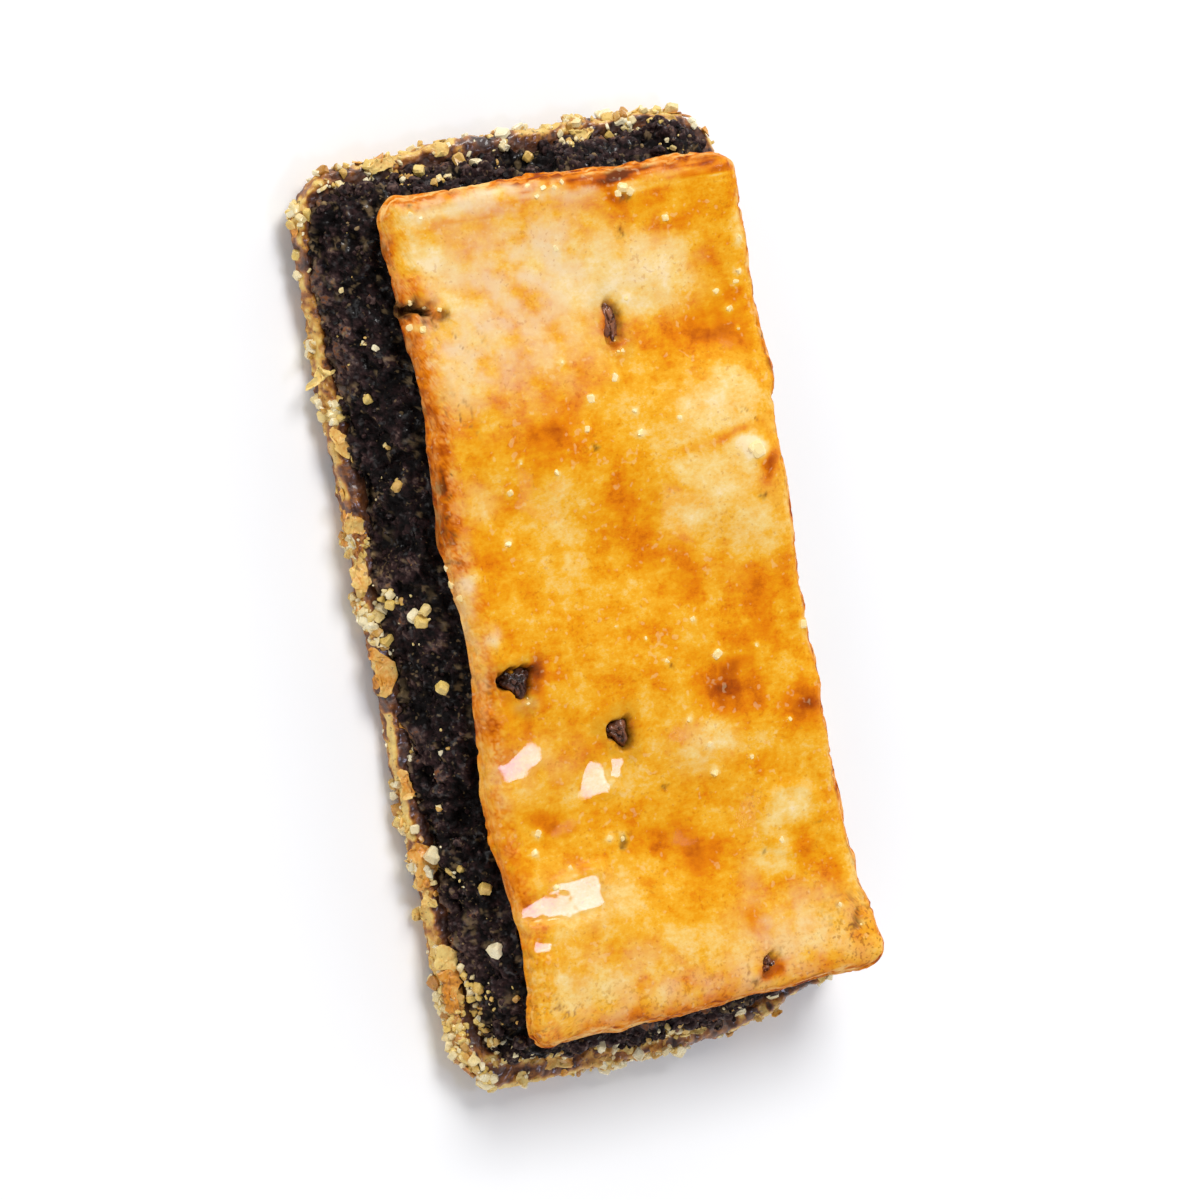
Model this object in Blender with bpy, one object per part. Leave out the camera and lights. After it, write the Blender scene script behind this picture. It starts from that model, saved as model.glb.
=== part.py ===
"""A garibaldi biscuit: a thick dark currant filling baked between two thin sheets of pastry.

Metres, +Z up, +Y along the length, and the glazed lid on top. The origin is under the middle of the
biscuit, on the surface that it lies on. Each layer is a block scored into a grid, whose points are
then placed by the layer's own outline, floor and roof. Sugar crystals are joined to the pastry and
to the filling, and the currants that break through the lid sit in pits cut for them.
"""

import itertools
import math
import random
from typing import Callable, NamedTuple

import bmesh
import bpy
import numpy as np
from mathutils import Euler, Matrix, Vector

MM = 0.001

# Driving dimensions
BASE_LENGTH = 97.4 * MM
BASE_WIDTH = 48.6 * MM
BASE_THICKNESS = 2.6 * MM
BASE_CORNER = 5.5 * MM
BASE_END_BOW = 1.3 * MM  # how much further the base's ends reach in the middle than near the corners
FILLING_LENGTH = 93.4 * MM
FILLING_WIDTH = 44.6 * MM
FILLING_OFFSET = -1.0 * MM
FILLING_HEIGHT = 8.2 * MM
FILLING_CORNER = 4.5 * MM
LID_LENGTH = 87.2 * MM
LID_WIDTH = 38.8 * MM
LID_OFFSET = 1.3 * MM  # the lid was cut a little to the right of the base
LID_THICKNESS = 2.7 * MM
LID_CORNER = 2.4 * MM
LAYER_GAP = 0.3 * MM
BASE_TAPER = 0.05  # how much narrower the base is at its front than at its back
FILLING_TAPER = 0.10
FRONT_SLANT = 2.2 * MM  # how far the base's and the filling's front edge runs back at its right
FRONT_SLANT_SPAN = (8.0 * MM, 20.0 * MM)

# The base lies flat in the middle, and baking has lifted its ends and sides.
FLAT_HALF_LENGTH = 27.0 * MM
FLAT_HALF_WIDTH = 13.0 * MM
END_LIFT = 1.5 * MM
SIDE_LIFT = 0.5 * MM

# The lid drapes over a lumpy filling.
SEAM_RIPPLE = 0.40 * MM
SEAM_RIPPLE_LENGTH = 28.0 * MM
SEAM_SWAY = 0.50 * MM
SEAM_SWAY_LENGTH = 60.0 * MM
SEAM_CREST = 23.7 * MM  # where a crest of the ripple meets the left edge
END_DROP = 1.0 * MM

# The lid's uneven cut
LID_ROLL_WIDTH = 2.4 * MM  # the upper rim rounds off over this width, by this drop
LID_ROLL_DROP = 1.2 * MM
LID_EDGE_WAVE = 0.35 * MM
LID_FRONT_FLARE = 2.3 * MM
LID_FRONT_SLANT = 0.9 * MM
LID_FRONT_SLANT_SPAN = (16.0 * MM, 22.0 * MM)
LID_BACK_FLARE = 0.9 * MM
LID_BACK_SKEW = 0.04

# A lump of filling has pushed out at the back right.
LUMP_PLACE = 18.2 * MM
LUMP_RADIUS = 2.6 * MM
LUMP_REACH = 2.2 * MM

# The split in the lid's left edge
SPLIT_PLACE = (-18.6 * MM, 32.8 * MM)
SPLIT_LENGTH = 3.6 * MM
SPLIT_WIDTH = 1.5 * MM
SPLIT_TIP = 0.1 * MM

CURRANT_RISE = 0.25 * MM  # how far a currant stands above the lid round it
PIT_GAP = 0.3 * MM
WRINKLE = 0.14

GRID = 1.15 * MM
TRIANGLES = {"base_pastry": 1900, "currant_filling": 3900, "glazed_lid": 2900}
GRAINS = {"base_pastry": 72, "currant_filling": 24, "glazed_lid": 16}

PASTRY_BROWN = (0.52, 0.25, 0.07)
FILLING_DARK = (0.035, 0.020, 0.018)
GLAZE_GOLD = (0.86, 0.42, 0.07)
CURRANT_DARK = (0.045, 0.016, 0.014)

Surface = Callable[[np.ndarray, np.ndarray], np.ndarray]


class Swell(NamedTuple):
    """A soft bump on the lid, or a hollow where the height is below zero. All in millimetres."""

    x: float
    y: float
    radius: float
    height: float


SWELLS = (
    Swell(9.4, 31.8, 4.2, 0.55),
    Swell(14.7, 16.8, 4.0, 0.45),
    Swell(13.9, 7.6, 5.4, 0.55),
    Swell(13.9, -26.0, 4.6, 0.55),
    Swell(-3.7, 13.4, 4.0, 0.35),
    Swell(-8.6, 33.0, 7.5, 0.35),
    Swell(-8.0, -31.5, 5.5, 0.35),
    Swell(5.6, -16.6, 3.2, 0.35),
    Swell(-14.6, -17.5, 3.4, 0.35),
    Swell(2.8, 4.0, 6.0, -0.40),
    Swell(10.5, -12.5, 4.0, -0.50),
    Swell(18.4, -10.0, 5.0, -0.35),
    Swell(-12.8, -23.0, 3.2, -0.50),
    Swell(-0.7, -27.0, 4.4, -0.45),
    Swell(15.6, 25.5, 3.4, -0.40),
    Swell(-10.5, 10.5, 5.0, -0.30),
)


class Currant(NamedTuple):
    """A currant that breaks through the lid: its place, its half sizes and its turn, in mm and degrees."""

    name: str
    x: float
    y: float
    half_length: float
    half_width: float
    half_height: float
    turn: float


CURRANTS = (
    Currant("currant_left", -14.3, -6.0, 2.3, 1.6, 1.1, 62.0),
    Currant("currant_middle", -3.4, -13.7, 1.6, 1.3, 1.0, 20.0),
    Currant("currant_back", 4.1, 27.3, 2.5, 1.1, 1.0, 96.0),
    Currant("currant_front", 8.5, -40.6, 1.5, 1.0, 0.9, 70.0),
)


class Layer(NamedTuple):
    """One layer: half width and half length at its foot and head, its two faces and its rough sides."""

    name: str
    foot: tuple[float, float]
    head: tuple[float, float]
    foot_offset: float
    head_offset: float
    corner: float
    bulge: float
    roll_width: float
    upper_drop: float
    lower_drop: float
    floor: Surface
    roof: Surface
    uneven: Callable
    crumb: Callable[[np.ndarray], np.ndarray]


def wave(distance, length: float):
    """A cosine of unit height that crests where the distance is zero."""
    return np.cos(2 * math.pi * distance / length)


def soft_noise(points: np.ndarray, cell: float, seed: int) -> np.ndarray:
    """Values from -1 to 1 that change smoothly between the corners of a lattice of cells."""
    scaled = points / cell
    whole = np.floor(scaled)
    part = scaled - whole
    ease = part * part * (3 - 2 * part)
    total = np.zeros(len(points))
    for corner in itertools.product((0, 1), repeat=3):
        weight = np.prod(np.where(corner, ease, 1 - ease), axis=1)
        mixed = np.sin((whole + corner) @ (127.1, 311.7, 74.7) + 53.3 * seed) * 43758.5453
        total += weight * (2 * (mixed - np.floor(mixed)) - 1)
    return total


def lift(x, y):
    """How far the base's underside stands off the table: square laws beyond the flat middle."""
    along = np.maximum(0, abs(y) - FLAT_HALF_LENGTH) / (BASE_LENGTH / 2 - FLAT_HALF_LENGTH)
    across = np.maximum(0, abs(x) - FLAT_HALF_WIDTH) / (BASE_WIDTH / 2 - FLAT_HALF_WIDTH)
    return END_LIFT * along**2 + SIDE_LIFT * across**2


def ledge(x, y):
    """The base's upper face."""
    return lift(x, y) + BASE_THICKNESS + 0.15 * MM * wave(x + 0.4 * y, 17 * MM)


def seam(x, y):
    """The filling's upper face: a slanting ripple and a long sway, lower at both ends."""
    ripple = SEAM_RIPPLE * wave(y + 0.3 * (x + LID_WIDTH / 2) - SEAM_CREST, SEAM_RIPPLE_LENGTH)
    sway = SEAM_SWAY * wave(y - 9 * MM + 0.2 * x, SEAM_SWAY_LENGTH)
    drop = END_DROP * (2 * y / LID_LENGTH) ** 4
    return BASE_THICKNESS + FILLING_HEIGHT + lift(x, y) + ripple + sway - drop


def relief(x, y):
    """The lid's own relief: soft swells and hollows, and a shallow cross ripple."""
    height = 0.12 * wave(x / MM + 0.5 * y / MM, 9) * wave(y / MM - 0.3 * x / MM, 13)
    for swell in SWELLS:
        away = ((x / MM - swell.x) ** 2 + (y / MM - swell.y) ** 2) / swell.radius**2
        height = height + swell.height * np.exp(-away)
    return height * MM


def lid_roof(x, y):
    """The glazed face."""
    return seam(x, y) + LID_THICKNESS + relief(x, y)


def above(face: Surface) -> Surface:
    """A face that clears another by the gap between two layers."""
    return lambda x, y: face(x, y) + LAYER_GAP


def pastry_crumb(points: np.ndarray) -> np.ndarray:
    """How far a cut pastry edge stands out at each point."""
    return 0.25 * MM * soft_noise(points, 4.0 * MM, 1) + 0.20 * MM * soft_noise(points, 1.7 * MM, 2)


def filling_crumb(points: np.ndarray) -> np.ndarray:
    """How far the torn filling stands out at each point: big lumps, then crumb, with deeper gaps."""
    lumps = 0.55 * soft_noise(points, 5.0 * MM, 3)
    crumb = 0.40 * soft_noise(points, 2.2 * MM, 4)
    gaps = np.minimum(0, soft_noise(points, 3.2 * MM, 5) + 0.25)
    return (lumps + crumb + 1.3 * gaps) * MM


def slant(x, along, amount: float, span: tuple[float, float]):
    """How far a front edge runs back: a smooth step to the right, and a cube law towards the front."""
    t = np.clip((x - span[0]) / (span[1] - span[0]), 0, 1)
    return amount * t * t * (3 - 2 * t) * np.maximum(0, -along) ** 3


def uneven_base(x, y, rise):
    """Bows both ends, slants the front edge and narrows the base towards its front."""
    along = 2 * y / BASE_LENGTH
    narrowed = 1 - BASE_TAPER * ((1 - along) / 2) ** 2
    bow = BASE_END_BOW * (2 * x / BASE_WIDTH) ** 2 * abs(along) ** 3
    return x * narrowed, y - np.sign(y) * bow + slant(x, along, FRONT_SLANT, FRONT_SLANT_SPAN)


def uneven_filling(x, y, rise):
    """Narrows the foot towards the front, slants the front edge, and pushes out the lump at the back right."""
    along = 2 * y / FILLING_LENGTH
    narrowed = 1 - FILLING_TAPER * ((1 - along) / 2) ** 2
    lump = LUMP_REACH * np.exp(-(((x - LUMP_PLACE) / LUMP_RADIUS) ** 2)) * np.maximum(0, along) ** 9
    bow = BASE_END_BOW * (2 * x / FILLING_WIDTH) ** 2 * abs(along) ** 3 * (1 - rise)
    slanted = y - np.sign(y) * bow + slant(x, along, FRONT_SLANT, FRONT_SLANT_SPAN)
    return x * (narrowed + (1 - narrowed) * rise), slanted + lump * np.sin(math.pi * rise)


def uneven_lid(x, y, rise):
    """The lid's uneven cut: a wavy left edge, wider right corners, and slanting back and front edges."""
    across = 2 * x / LID_WIDTH
    along = 2 * y / LID_LENGTH
    front = LID_FRONT_FLARE * np.maximum(0, -along) ** 4
    back = LID_BACK_FLARE * np.clip((along - 0.33) / 0.1, 0, 1)
    edge = LID_EDGE_WAVE * wave(y - SEAM_CREST, SEAM_RIPPLE_LENGTH) * np.maximum(0, -across)
    skew = LID_BACK_SKEW * x * np.maximum(0, along) ** 3
    slanted = y - skew + slant(x, along, LID_FRONT_SLANT, LID_FRONT_SLANT_SPAN)
    return x + np.maximum(0, across) * (front + back) + edge, slanted


BASE = Layer(
    name="base_pastry",
    foot=(BASE_WIDTH / 2 - 0.2 * MM, BASE_LENGTH / 2 - 0.2 * MM),
    head=(BASE_WIDTH / 2, BASE_LENGTH / 2),
    foot_offset=0.0,
    head_offset=0.0,
    corner=BASE_CORNER,
    bulge=0.2 * MM,
    roll_width=0.7 * MM,
    upper_drop=0.7 * MM,
    lower_drop=0.4 * MM,
    floor=lift,
    roof=ledge,
    uneven=uneven_base,
    crumb=pastry_crumb,
)
FILLING = Layer(
    name="currant_filling",
    foot=(FILLING_WIDTH / 2, FILLING_LENGTH / 2),
    head=(LID_WIDTH / 2 - 0.5 * MM, LID_LENGTH / 2 - 0.4 * MM),
    foot_offset=FILLING_OFFSET,
    head_offset=LID_OFFSET,
    corner=FILLING_CORNER,
    bulge=0.5 * MM,
    roll_width=0.5 * MM,
    upper_drop=0.5 * MM,
    lower_drop=0.3 * MM,
    floor=above(ledge),
    roof=seam,
    uneven=uneven_filling,
    crumb=filling_crumb,
)
LID = Layer(
    name="glazed_lid",
    foot=(LID_WIDTH / 2, LID_LENGTH / 2),
    head=(LID_WIDTH / 2, LID_LENGTH / 2),
    foot_offset=LID_OFFSET,
    head_offset=LID_OFFSET,
    corner=LID_CORNER,
    bulge=0.25 * MM,
    roll_width=LID_ROLL_WIDTH,
    upper_drop=LID_ROLL_DROP,
    lower_drop=0.5 * MM,
    floor=above(seam),
    roof=lid_roof,
    uneven=uneven_lid,
    crumb=pastry_crumb,
)


def rounded(x, y, half_width, half_length, corner: float):
    """Moves the points of a sharp rectangle to their places in one with round corners."""
    a = np.clip((abs(x) - half_width + corner) / corner, 0, 1)
    b = np.clip((abs(y) - half_length + corner) / corner, 0, 1)
    x = x + np.sign(x) * corner * (a * np.sqrt(1 - b * b / 2) - a)
    y = y + np.sign(y) * corner * (b * np.sqrt(1 - a * a / 2) - b)
    return x, y


def placed(layer: Layer, block: np.ndarray) -> np.ndarray:
    """Where the points of the scored block go; the block runs from -1 to 1 on each axis."""
    u, v, w = block.T
    rise = (w + 1) / 2
    swell = layer.bulge * np.sin(math.pi * rise)
    half_width = layer.foot[0] + (layer.head[0] - layer.foot[0]) * rise + swell
    half_length = layer.foot[1] + (layer.head[1] - layer.foot[1]) * rise + swell
    x, y = rounded(u * half_width, v * half_length, half_width, half_length, layer.corner)
    x, y = layer.uneven(x, y, rise)
    x = x + layer.foot_offset + (layer.head_offset - layer.foot_offset) * rise

    inset = np.minimum((1 - abs(u)) * half_width, (1 - abs(v)) * half_length)
    outward = np.stack([u**9, v**9], axis=1)
    outward /= np.maximum(np.linalg.norm(outward, axis=1, keepdims=True), 1e-9)
    height = layer.floor(x, y) + (layer.roof(x, y) - layer.floor(x, y)) * rise
    push = layer.crumb(np.stack([x, y, height], axis=1)) * np.exp(-inset / (1.5 * MM))
    x = x + outward[:, 0] * push
    y = y + outward[:, 1] * push

    depth = np.maximum(0, 1 - inset / layer.roll_width)
    eased = 1 - np.sqrt(1 - depth * depth)
    low = layer.floor(x, y) + layer.lower_drop * eased
    high = layer.roof(x, y) - layer.upper_drop * eased
    return np.stack([x, y, low + (high - low) * rise], axis=1)


def cuts(half_size: float, roll_width: float) -> list[float]:
    """Where a block is scored: close together near both rims, then evenly between them."""
    inner = 1 - roll_width / half_size
    steps = max(2, round(2 * inner * half_size / GRID))
    rims = [1 - share * roll_width / half_size for share in (0.15, 0.5)]
    even = [inner * (2 * i / steps - 1) for i in range(steps + 1)]
    return sorted([*rims, *[-place for place in rims], *even])


def scored_block(layer: Layer, wall_rows: int) -> bmesh.types.BMesh:
    """A cube from -1 to 1 cut into a grid, then placed as the layer."""
    block = bmesh.new()
    bmesh.ops.create_cube(block, size=2.0)
    across = cuts(layer.foot[0], layer.roll_width)
    along = cuts(layer.foot[1], layer.roll_width)
    upward = [2 * i / wall_rows - 1 for i in range(1, wall_rows)]
    for axis, places in enumerate((across, along, upward)):
        normal = Vector((0, 0, 0))
        normal[axis] = 1.0
        for place in places:
            whole = [*block.verts, *block.edges, *block.faces]
            bmesh.ops.bisect_plane(block, geom=whole, dist=1e-7, plane_co=normal * place, plane_no=normal)
    points = placed(layer, np.array([vertex.co for vertex in block.verts]))
    for vertex, point in zip(block.verts, points):
        vertex.co = point
    return block


def material(name: str, colour: tuple[float, float, float], roughness: float) -> bpy.types.Material:
    """A plain Principled material."""
    made = bpy.data.materials.new(name)
    made.use_nodes = True
    shader = made.node_tree.nodes["Principled BSDF"]
    shader.inputs["Base Color"].default_value = (*colour, 1.0)
    shader.inputs["Roughness"].default_value = roughness
    shader.inputs["Metallic"].default_value = 0.0
    return made


def new_object(name: str, shape: bmesh.types.BMesh, finish: bpy.types.Material) -> bpy.types.Object:
    """Links a shape as an object, shaded smooth except at its sharp folds."""
    mesh = bpy.data.meshes.new(name)
    shape.to_mesh(mesh)
    shape.free()
    mesh.shade_smooth()
    mesh.set_sharp_from_angle(angle=math.radians(50))
    mesh.materials.append(finish)
    made = bpy.data.objects.new(name, mesh)
    bpy.context.scene.collection.objects.link(made)
    return made


def apply_modifiers(obj: bpy.types.Object) -> None:
    """Makes the evaluated mesh the object's own."""
    graph = bpy.context.evaluated_depsgraph_get()
    graph.update()
    mesh = bpy.data.meshes.new_from_object(obj.evaluated_get(graph))
    obj.modifiers.clear()
    obj.data = mesh


def new_layer(layer: Layer, wall_rows: int, finish: bpy.types.Material) -> bpy.types.Object:
    """Builds a layer, and collapses its smooth stretches so that the triangles go to its crags."""
    made = new_object(layer.name, scored_block(layer, wall_rows), finish)
    made.data.calc_loop_triangles()
    thin = made.modifiers.new("Thin", "DECIMATE")
    thin.ratio = TRIANGLES[layer.name] / len(made.data.loop_triangles)
    apply_modifiers(made)
    return made


def crystal(rng: random.Random, size: float, place, finish: bpy.types.Material) -> bpy.types.Object:
    """One blocky grain of sugar, turned at random."""
    grain = bmesh.new()
    bmesh.ops.create_cube(grain, size=size)
    shape = Matrix.Diagonal((rng.uniform(0.8, 1.15), rng.uniform(0.75, 1.0), rng.uniform(0.7, 0.95), 1.0))
    turn = Euler([rng.uniform(0, math.pi) for _ in range(3)]).to_matrix().to_4x4()
    bmesh.ops.transform(grain, matrix=Matrix.Translation(place) @ turn @ shape, verts=grain.verts)
    return new_object("grain", grain, finish)


def fuse(obj: bpy.types.Object, grains: list[bpy.types.Object]) -> None:
    """Joins grains to a layer with one Boolean union, then removes them."""
    heap = bpy.data.collections.new("grains")
    bpy.context.scene.collection.children.link(heap)
    for grain in grains:
        bpy.context.scene.collection.objects.unlink(grain)
        heap.objects.link(grain)
    union = obj.modifiers.new("Fuse", "BOOLEAN")
    union.operation = "UNION"
    union.operand_type = "COLLECTION"
    union.solver = "MANIFOLD"
    union.collection = heap
    apply_modifiers(obj)
    for grain in grains:
        bpy.data.objects.remove(grain)
    bpy.data.collections.remove(heap)


def carve(obj: bpy.types.Object, cutter: bpy.types.Object) -> None:
    """Cuts one shape out of a layer, then removes the shape."""
    cut = obj.modifiers.new("Carve", "BOOLEAN")
    cut.operation = "DIFFERENCE"
    cut.solver = "EXACT"
    cut.object = cutter
    apply_modifiers(obj)
    bpy.data.objects.remove(cutter)


def rim_places(layer: Layer, low: float, high: float, rng: random.Random) -> np.ndarray:
    """Even places round a layer's rim, as points of its block between two heights, with a little jitter."""
    half_width, half_length = layer.head
    lengths = (2 * half_width, 2 * half_length, 2 * half_width, 2 * half_length)
    count = GRAINS[layer.name]
    places = []
    for i in range(count):
        side = 0
        past = (i + rng.uniform(0.2, 0.8)) / count * sum(lengths)
        while past > lengths[side]:
            past -= lengths[side]
            side += 1
        t = 2 * past / lengths[side] - 1
        u, v = ((t, -1.0), (1.0, t), (-t, 1.0), (-1.0, -t))[side]
        places.append((u, v, rng.uniform(low, high)))
    return np.array(places)


def build_base() -> bpy.types.Object:
    """The lower sheet, with sugar crusted on its cut edge."""
    finish = material(BASE.name, PASTRY_BROWN, 0.6)
    base = new_layer(BASE, 4, finish)
    rng = random.Random(11)
    points = placed(BASE, rim_places(BASE, -0.1, 0.85, rng))
    fuse(base, [crystal(rng, rng.uniform(1.0, 1.5) * MM, point, finish) for point in points])
    return base


def build_filling() -> bpy.types.Object:
    """The currant filling, torn and lumpy where it shows, with a few sugar grains stuck to it."""
    finish = material(FILLING.name, FILLING_DARK, 0.8)
    filling = new_layer(FILLING, 8, finish)
    rng = random.Random(23)
    points = placed(FILLING, rim_places(FILLING, -0.45, 0.45, rng))
    fuse(filling, [crystal(rng, rng.uniform(0.9, 1.2) * MM, point, finish) for point in points])
    return filling


def currant_shape(currant: Currant, grown: float) -> bmesh.types.BMesh:
    """A wrinkled flat ellipsoid at a currant's place in the lid."""
    shape = bmesh.new()
    bmesh.ops.create_icosphere(shape, subdivisions=2, radius=1.0)
    points = np.array([vertex.co for vertex in shape.verts])
    folds = soft_noise(points + (currant.x, currant.y, 0), 0.6, 6)
    for vertex, fold in zip(shape.verts, folds):
        vertex.co *= 1 + WRINKLE * fold
    x, y = currant.x * MM, currant.y * MM
    size = [half * MM + grown for half in (currant.half_length, currant.half_width, currant.half_height)]
    middle = lid_roof(x, y) + CURRANT_RISE - currant.half_height * MM
    turn = Matrix.Rotation(math.radians(currant.turn), 4, "Z")
    place = Matrix.Translation((x, y, middle)) @ turn @ Matrix.Diagonal((*size, 1.0))
    bmesh.ops.transform(shape, matrix=place, verts=shape.verts)
    return shape


def build_currants() -> list[bpy.types.Object]:
    """Each currant that breaks through the lid."""
    finish = material("currant", CURRANT_DARK, 0.35)
    return [new_object(currant.name, currant_shape(currant, 0.0), finish) for currant in CURRANTS]


def split_shape() -> bmesh.types.BMesh:
    """A tall wedge for the split in the lid's left edge, wide at the edge and ending in a point."""
    wedge = bmesh.new()
    radius = SPLIT_WIDTH / 2
    bmesh.ops.create_cone(
        wedge, cap_ends=True, segments=4, radius1=radius, radius2=SPLIT_TIP, depth=SPLIT_LENGTH
    )
    lie_down = Matrix.Rotation(math.radians(90), 4, "Y")
    tall = Matrix.Diagonal((1.0, 1.0, 6.0, 1.0))
    x, y = SPLIT_PLACE
    middle = lid_roof(x, y) - LID_THICKNESS / 2
    bmesh.ops.transform(wedge, matrix=Matrix.Translation((x, y, middle)) @ tall @ lie_down, verts=wedge.verts)
    return wedge


def lid_grain_places(rng: random.Random) -> np.ndarray:
    """Random places on the glazed face, clear of the currants and of the split."""
    kept = []
    while len(kept) < GRAINS[LID.name]:
        block = np.array([[rng.uniform(-0.92, 0.92), rng.uniform(-0.95, 0.95), 1.0]])
        point = placed(LID, block)[0]
        nearest = min(math.hypot(point[0] - c.x * MM, point[1] - c.y * MM) for c in CURRANTS)
        from_split = math.hypot(point[0] - SPLIT_PLACE[0], point[1] - SPLIT_PLACE[1])
        if nearest > 4.5 * MM and from_split > 5 * MM:
            kept.append(point)
    return np.array(kept)


def build_lid() -> bpy.types.Object:
    """The upper sheet: its pits, its split, and the sugar under its glaze."""
    finish = material(LID.name, GLAZE_GOLD, 0.25)
    lid = new_layer(LID, 3, finish)
    for currant in CURRANTS:
        carve(lid, new_object("pit", currant_shape(currant, PIT_GAP), finish))
    carve(lid, new_object("split", split_shape(), finish))
    rng = random.Random(37)
    points = lid_grain_places(rng)
    fuse(lid, [crystal(rng, rng.uniform(0.8, 1.2) * MM, point, finish) for point in points])
    return lid


def main() -> None:
    """Clears the scene and builds the biscuit from the table up."""
    for obj in list(bpy.data.objects):
        bpy.data.objects.remove(obj)
    build_base()
    build_filling()
    build_lid()
    build_currants()


main()
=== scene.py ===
"""The looks of a garibaldi biscuit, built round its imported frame.

A thick filling of dark currants is baked between two thin sheets of pastry. The filling stands out
beyond the glazed lid, and sugar has crusted on the base's rim. Shapes are worked out in millimetres
and become metres when they are put into a mesh. +Z is up, +Y runs along the length.
"""

import itertools
import logging
import math
from collections.abc import Callable, Iterator, Sequence
from dataclasses import dataclass, field
from enum import Enum

import bpy
import numpy as np
from mathutils import Matrix, Vector


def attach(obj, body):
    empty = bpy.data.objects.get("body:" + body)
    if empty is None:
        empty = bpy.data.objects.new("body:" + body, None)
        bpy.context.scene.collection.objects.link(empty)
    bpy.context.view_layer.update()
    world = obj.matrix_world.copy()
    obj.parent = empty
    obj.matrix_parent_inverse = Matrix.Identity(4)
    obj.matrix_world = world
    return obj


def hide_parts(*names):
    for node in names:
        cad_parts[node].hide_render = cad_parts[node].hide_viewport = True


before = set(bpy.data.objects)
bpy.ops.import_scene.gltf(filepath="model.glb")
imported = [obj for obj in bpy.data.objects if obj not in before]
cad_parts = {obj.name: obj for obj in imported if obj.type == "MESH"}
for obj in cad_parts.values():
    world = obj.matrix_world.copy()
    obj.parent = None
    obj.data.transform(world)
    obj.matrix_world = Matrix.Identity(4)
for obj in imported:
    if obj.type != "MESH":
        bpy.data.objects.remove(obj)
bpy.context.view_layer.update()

MM = 0.001
CAMERA = (-0.2402, 0.04445, 0.5259)
WINDOW = (0.051, -0.058, 0.253)  # the small bright light that the glaze mirrors in sharp patches
LOG = logging.getLogger("garibaldi")

Array = np.ndarray
Chance = np.random.Generator
Face = Callable[[Array, Array], Array]
Colour = tuple[float, float, float, float]
Row = tuple[float, ...]
Socket = bpy.types.NodeSocket


# Curves and noises that the shapes share


def wave(distance: Array, length: float) -> Array:
    """A cosine of unit height that crests where the distance is zero."""
    return np.cos(2 * math.pi * distance / length)


def bell(away: Array, width: float) -> Array:
    """A bell of unit height: e to the power of less the square of the distance over the width."""
    return np.exp(-((away / width) ** 2))


def ease(value: Array, low: float, high: float) -> Array:
    """A smooth step: 3t squared less 2t cubed, with t running from 0 at low to 1 at high."""
    t = np.clip((value - low) / (high - low), 0, 1)
    return t * t * (3 - 2 * t)


def lattice(corner: Array, seed: int) -> Array:
    """A number from 0 to 1 for each lattice corner: the part after the point of a large sine."""
    mixed = np.sin(corner @ (127.1, 311.7, 74.7) + 53.3 * seed) * 43758.5453
    return mixed - np.floor(mixed)


def soft_noise(points: Array, cell: float, seed: int) -> Array:
    """Values from -1 to 1: numbers at the corners of a lattice of cells, blended smoothly between.

    Args:
        points: Places, one row each, in millimetres.
        cell: The side of a lattice cell.
        seed: Which noise of its kind.

    Returns:
        One value for each place.
    """
    scaled = points / cell
    whole = np.floor(scaled)
    part = scaled - whole
    eased = part * part * (3 - 2 * part)
    total = np.zeros(len(points))
    for corner in itertools.product((0, 1), repeat=3):
        weight = np.prod(np.where(corner, eased, 1 - eased), axis=1)
        total += weight * (2 * lattice(whole + corner, seed) - 1)
    return total


def fractal(points: Array, cell: float, seed: int, octaves: int = 3) -> Array:
    """A sum of noises, each with half the cell and half the height of the one before."""
    return sum(0.5**i * soft_noise(points, cell * 0.5**i, seed + i) for i in range(octaves))


def jitter(points: Array, cell: float, seed: int) -> Array:
    """Three soft noises side by side, one for each axis."""
    return np.stack([soft_noise(points, cell, seed + i) for i in range(3)], axis=1)


def granules(points: Array, cell: float, seed: int) -> tuple[Array, Array]:
    """How far each place is from the nearest of scattered seeds, one seed in each lattice cell.

    Args:
        points: Places, one row each, in millimetres.
        cell: The side of a lattice cell.
        seed: Which scatter of its kind.

    Returns:
        The distance in cells, and a number from 0 to 1 that belongs to the nearest seed.
    """
    scaled = points / cell
    whole = np.floor(scaled)
    nearest = np.full(len(points), 9.0)
    number = np.zeros(len(points))
    for step in itertools.product((-1, 0, 1), repeat=3):
        corner = whole + step
        place = corner + np.stack([lattice(corner, seed + i) for i in range(3)], axis=1)
        away = np.linalg.norm(scaled - place, axis=1)
        nearer = away < nearest
        nearest = np.where(nearer, away, nearest)
        number = np.where(nearer, lattice(corner, seed + 3), number)
    return nearest, number


def turned(x: Array, y: Array, middle: Row, degrees: float) -> tuple[Array, Array]:
    """How far places are from a middle, across and along two axes that are turned by some degrees."""
    cosine, sine = math.cos(math.radians(degrees)), math.sin(math.radians(degrees))
    dx, dy = x - middle[0], y - middle[1]
    return dx * cosine + dy * sine, dy * cosine - dx * sine


# Meshes


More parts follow.
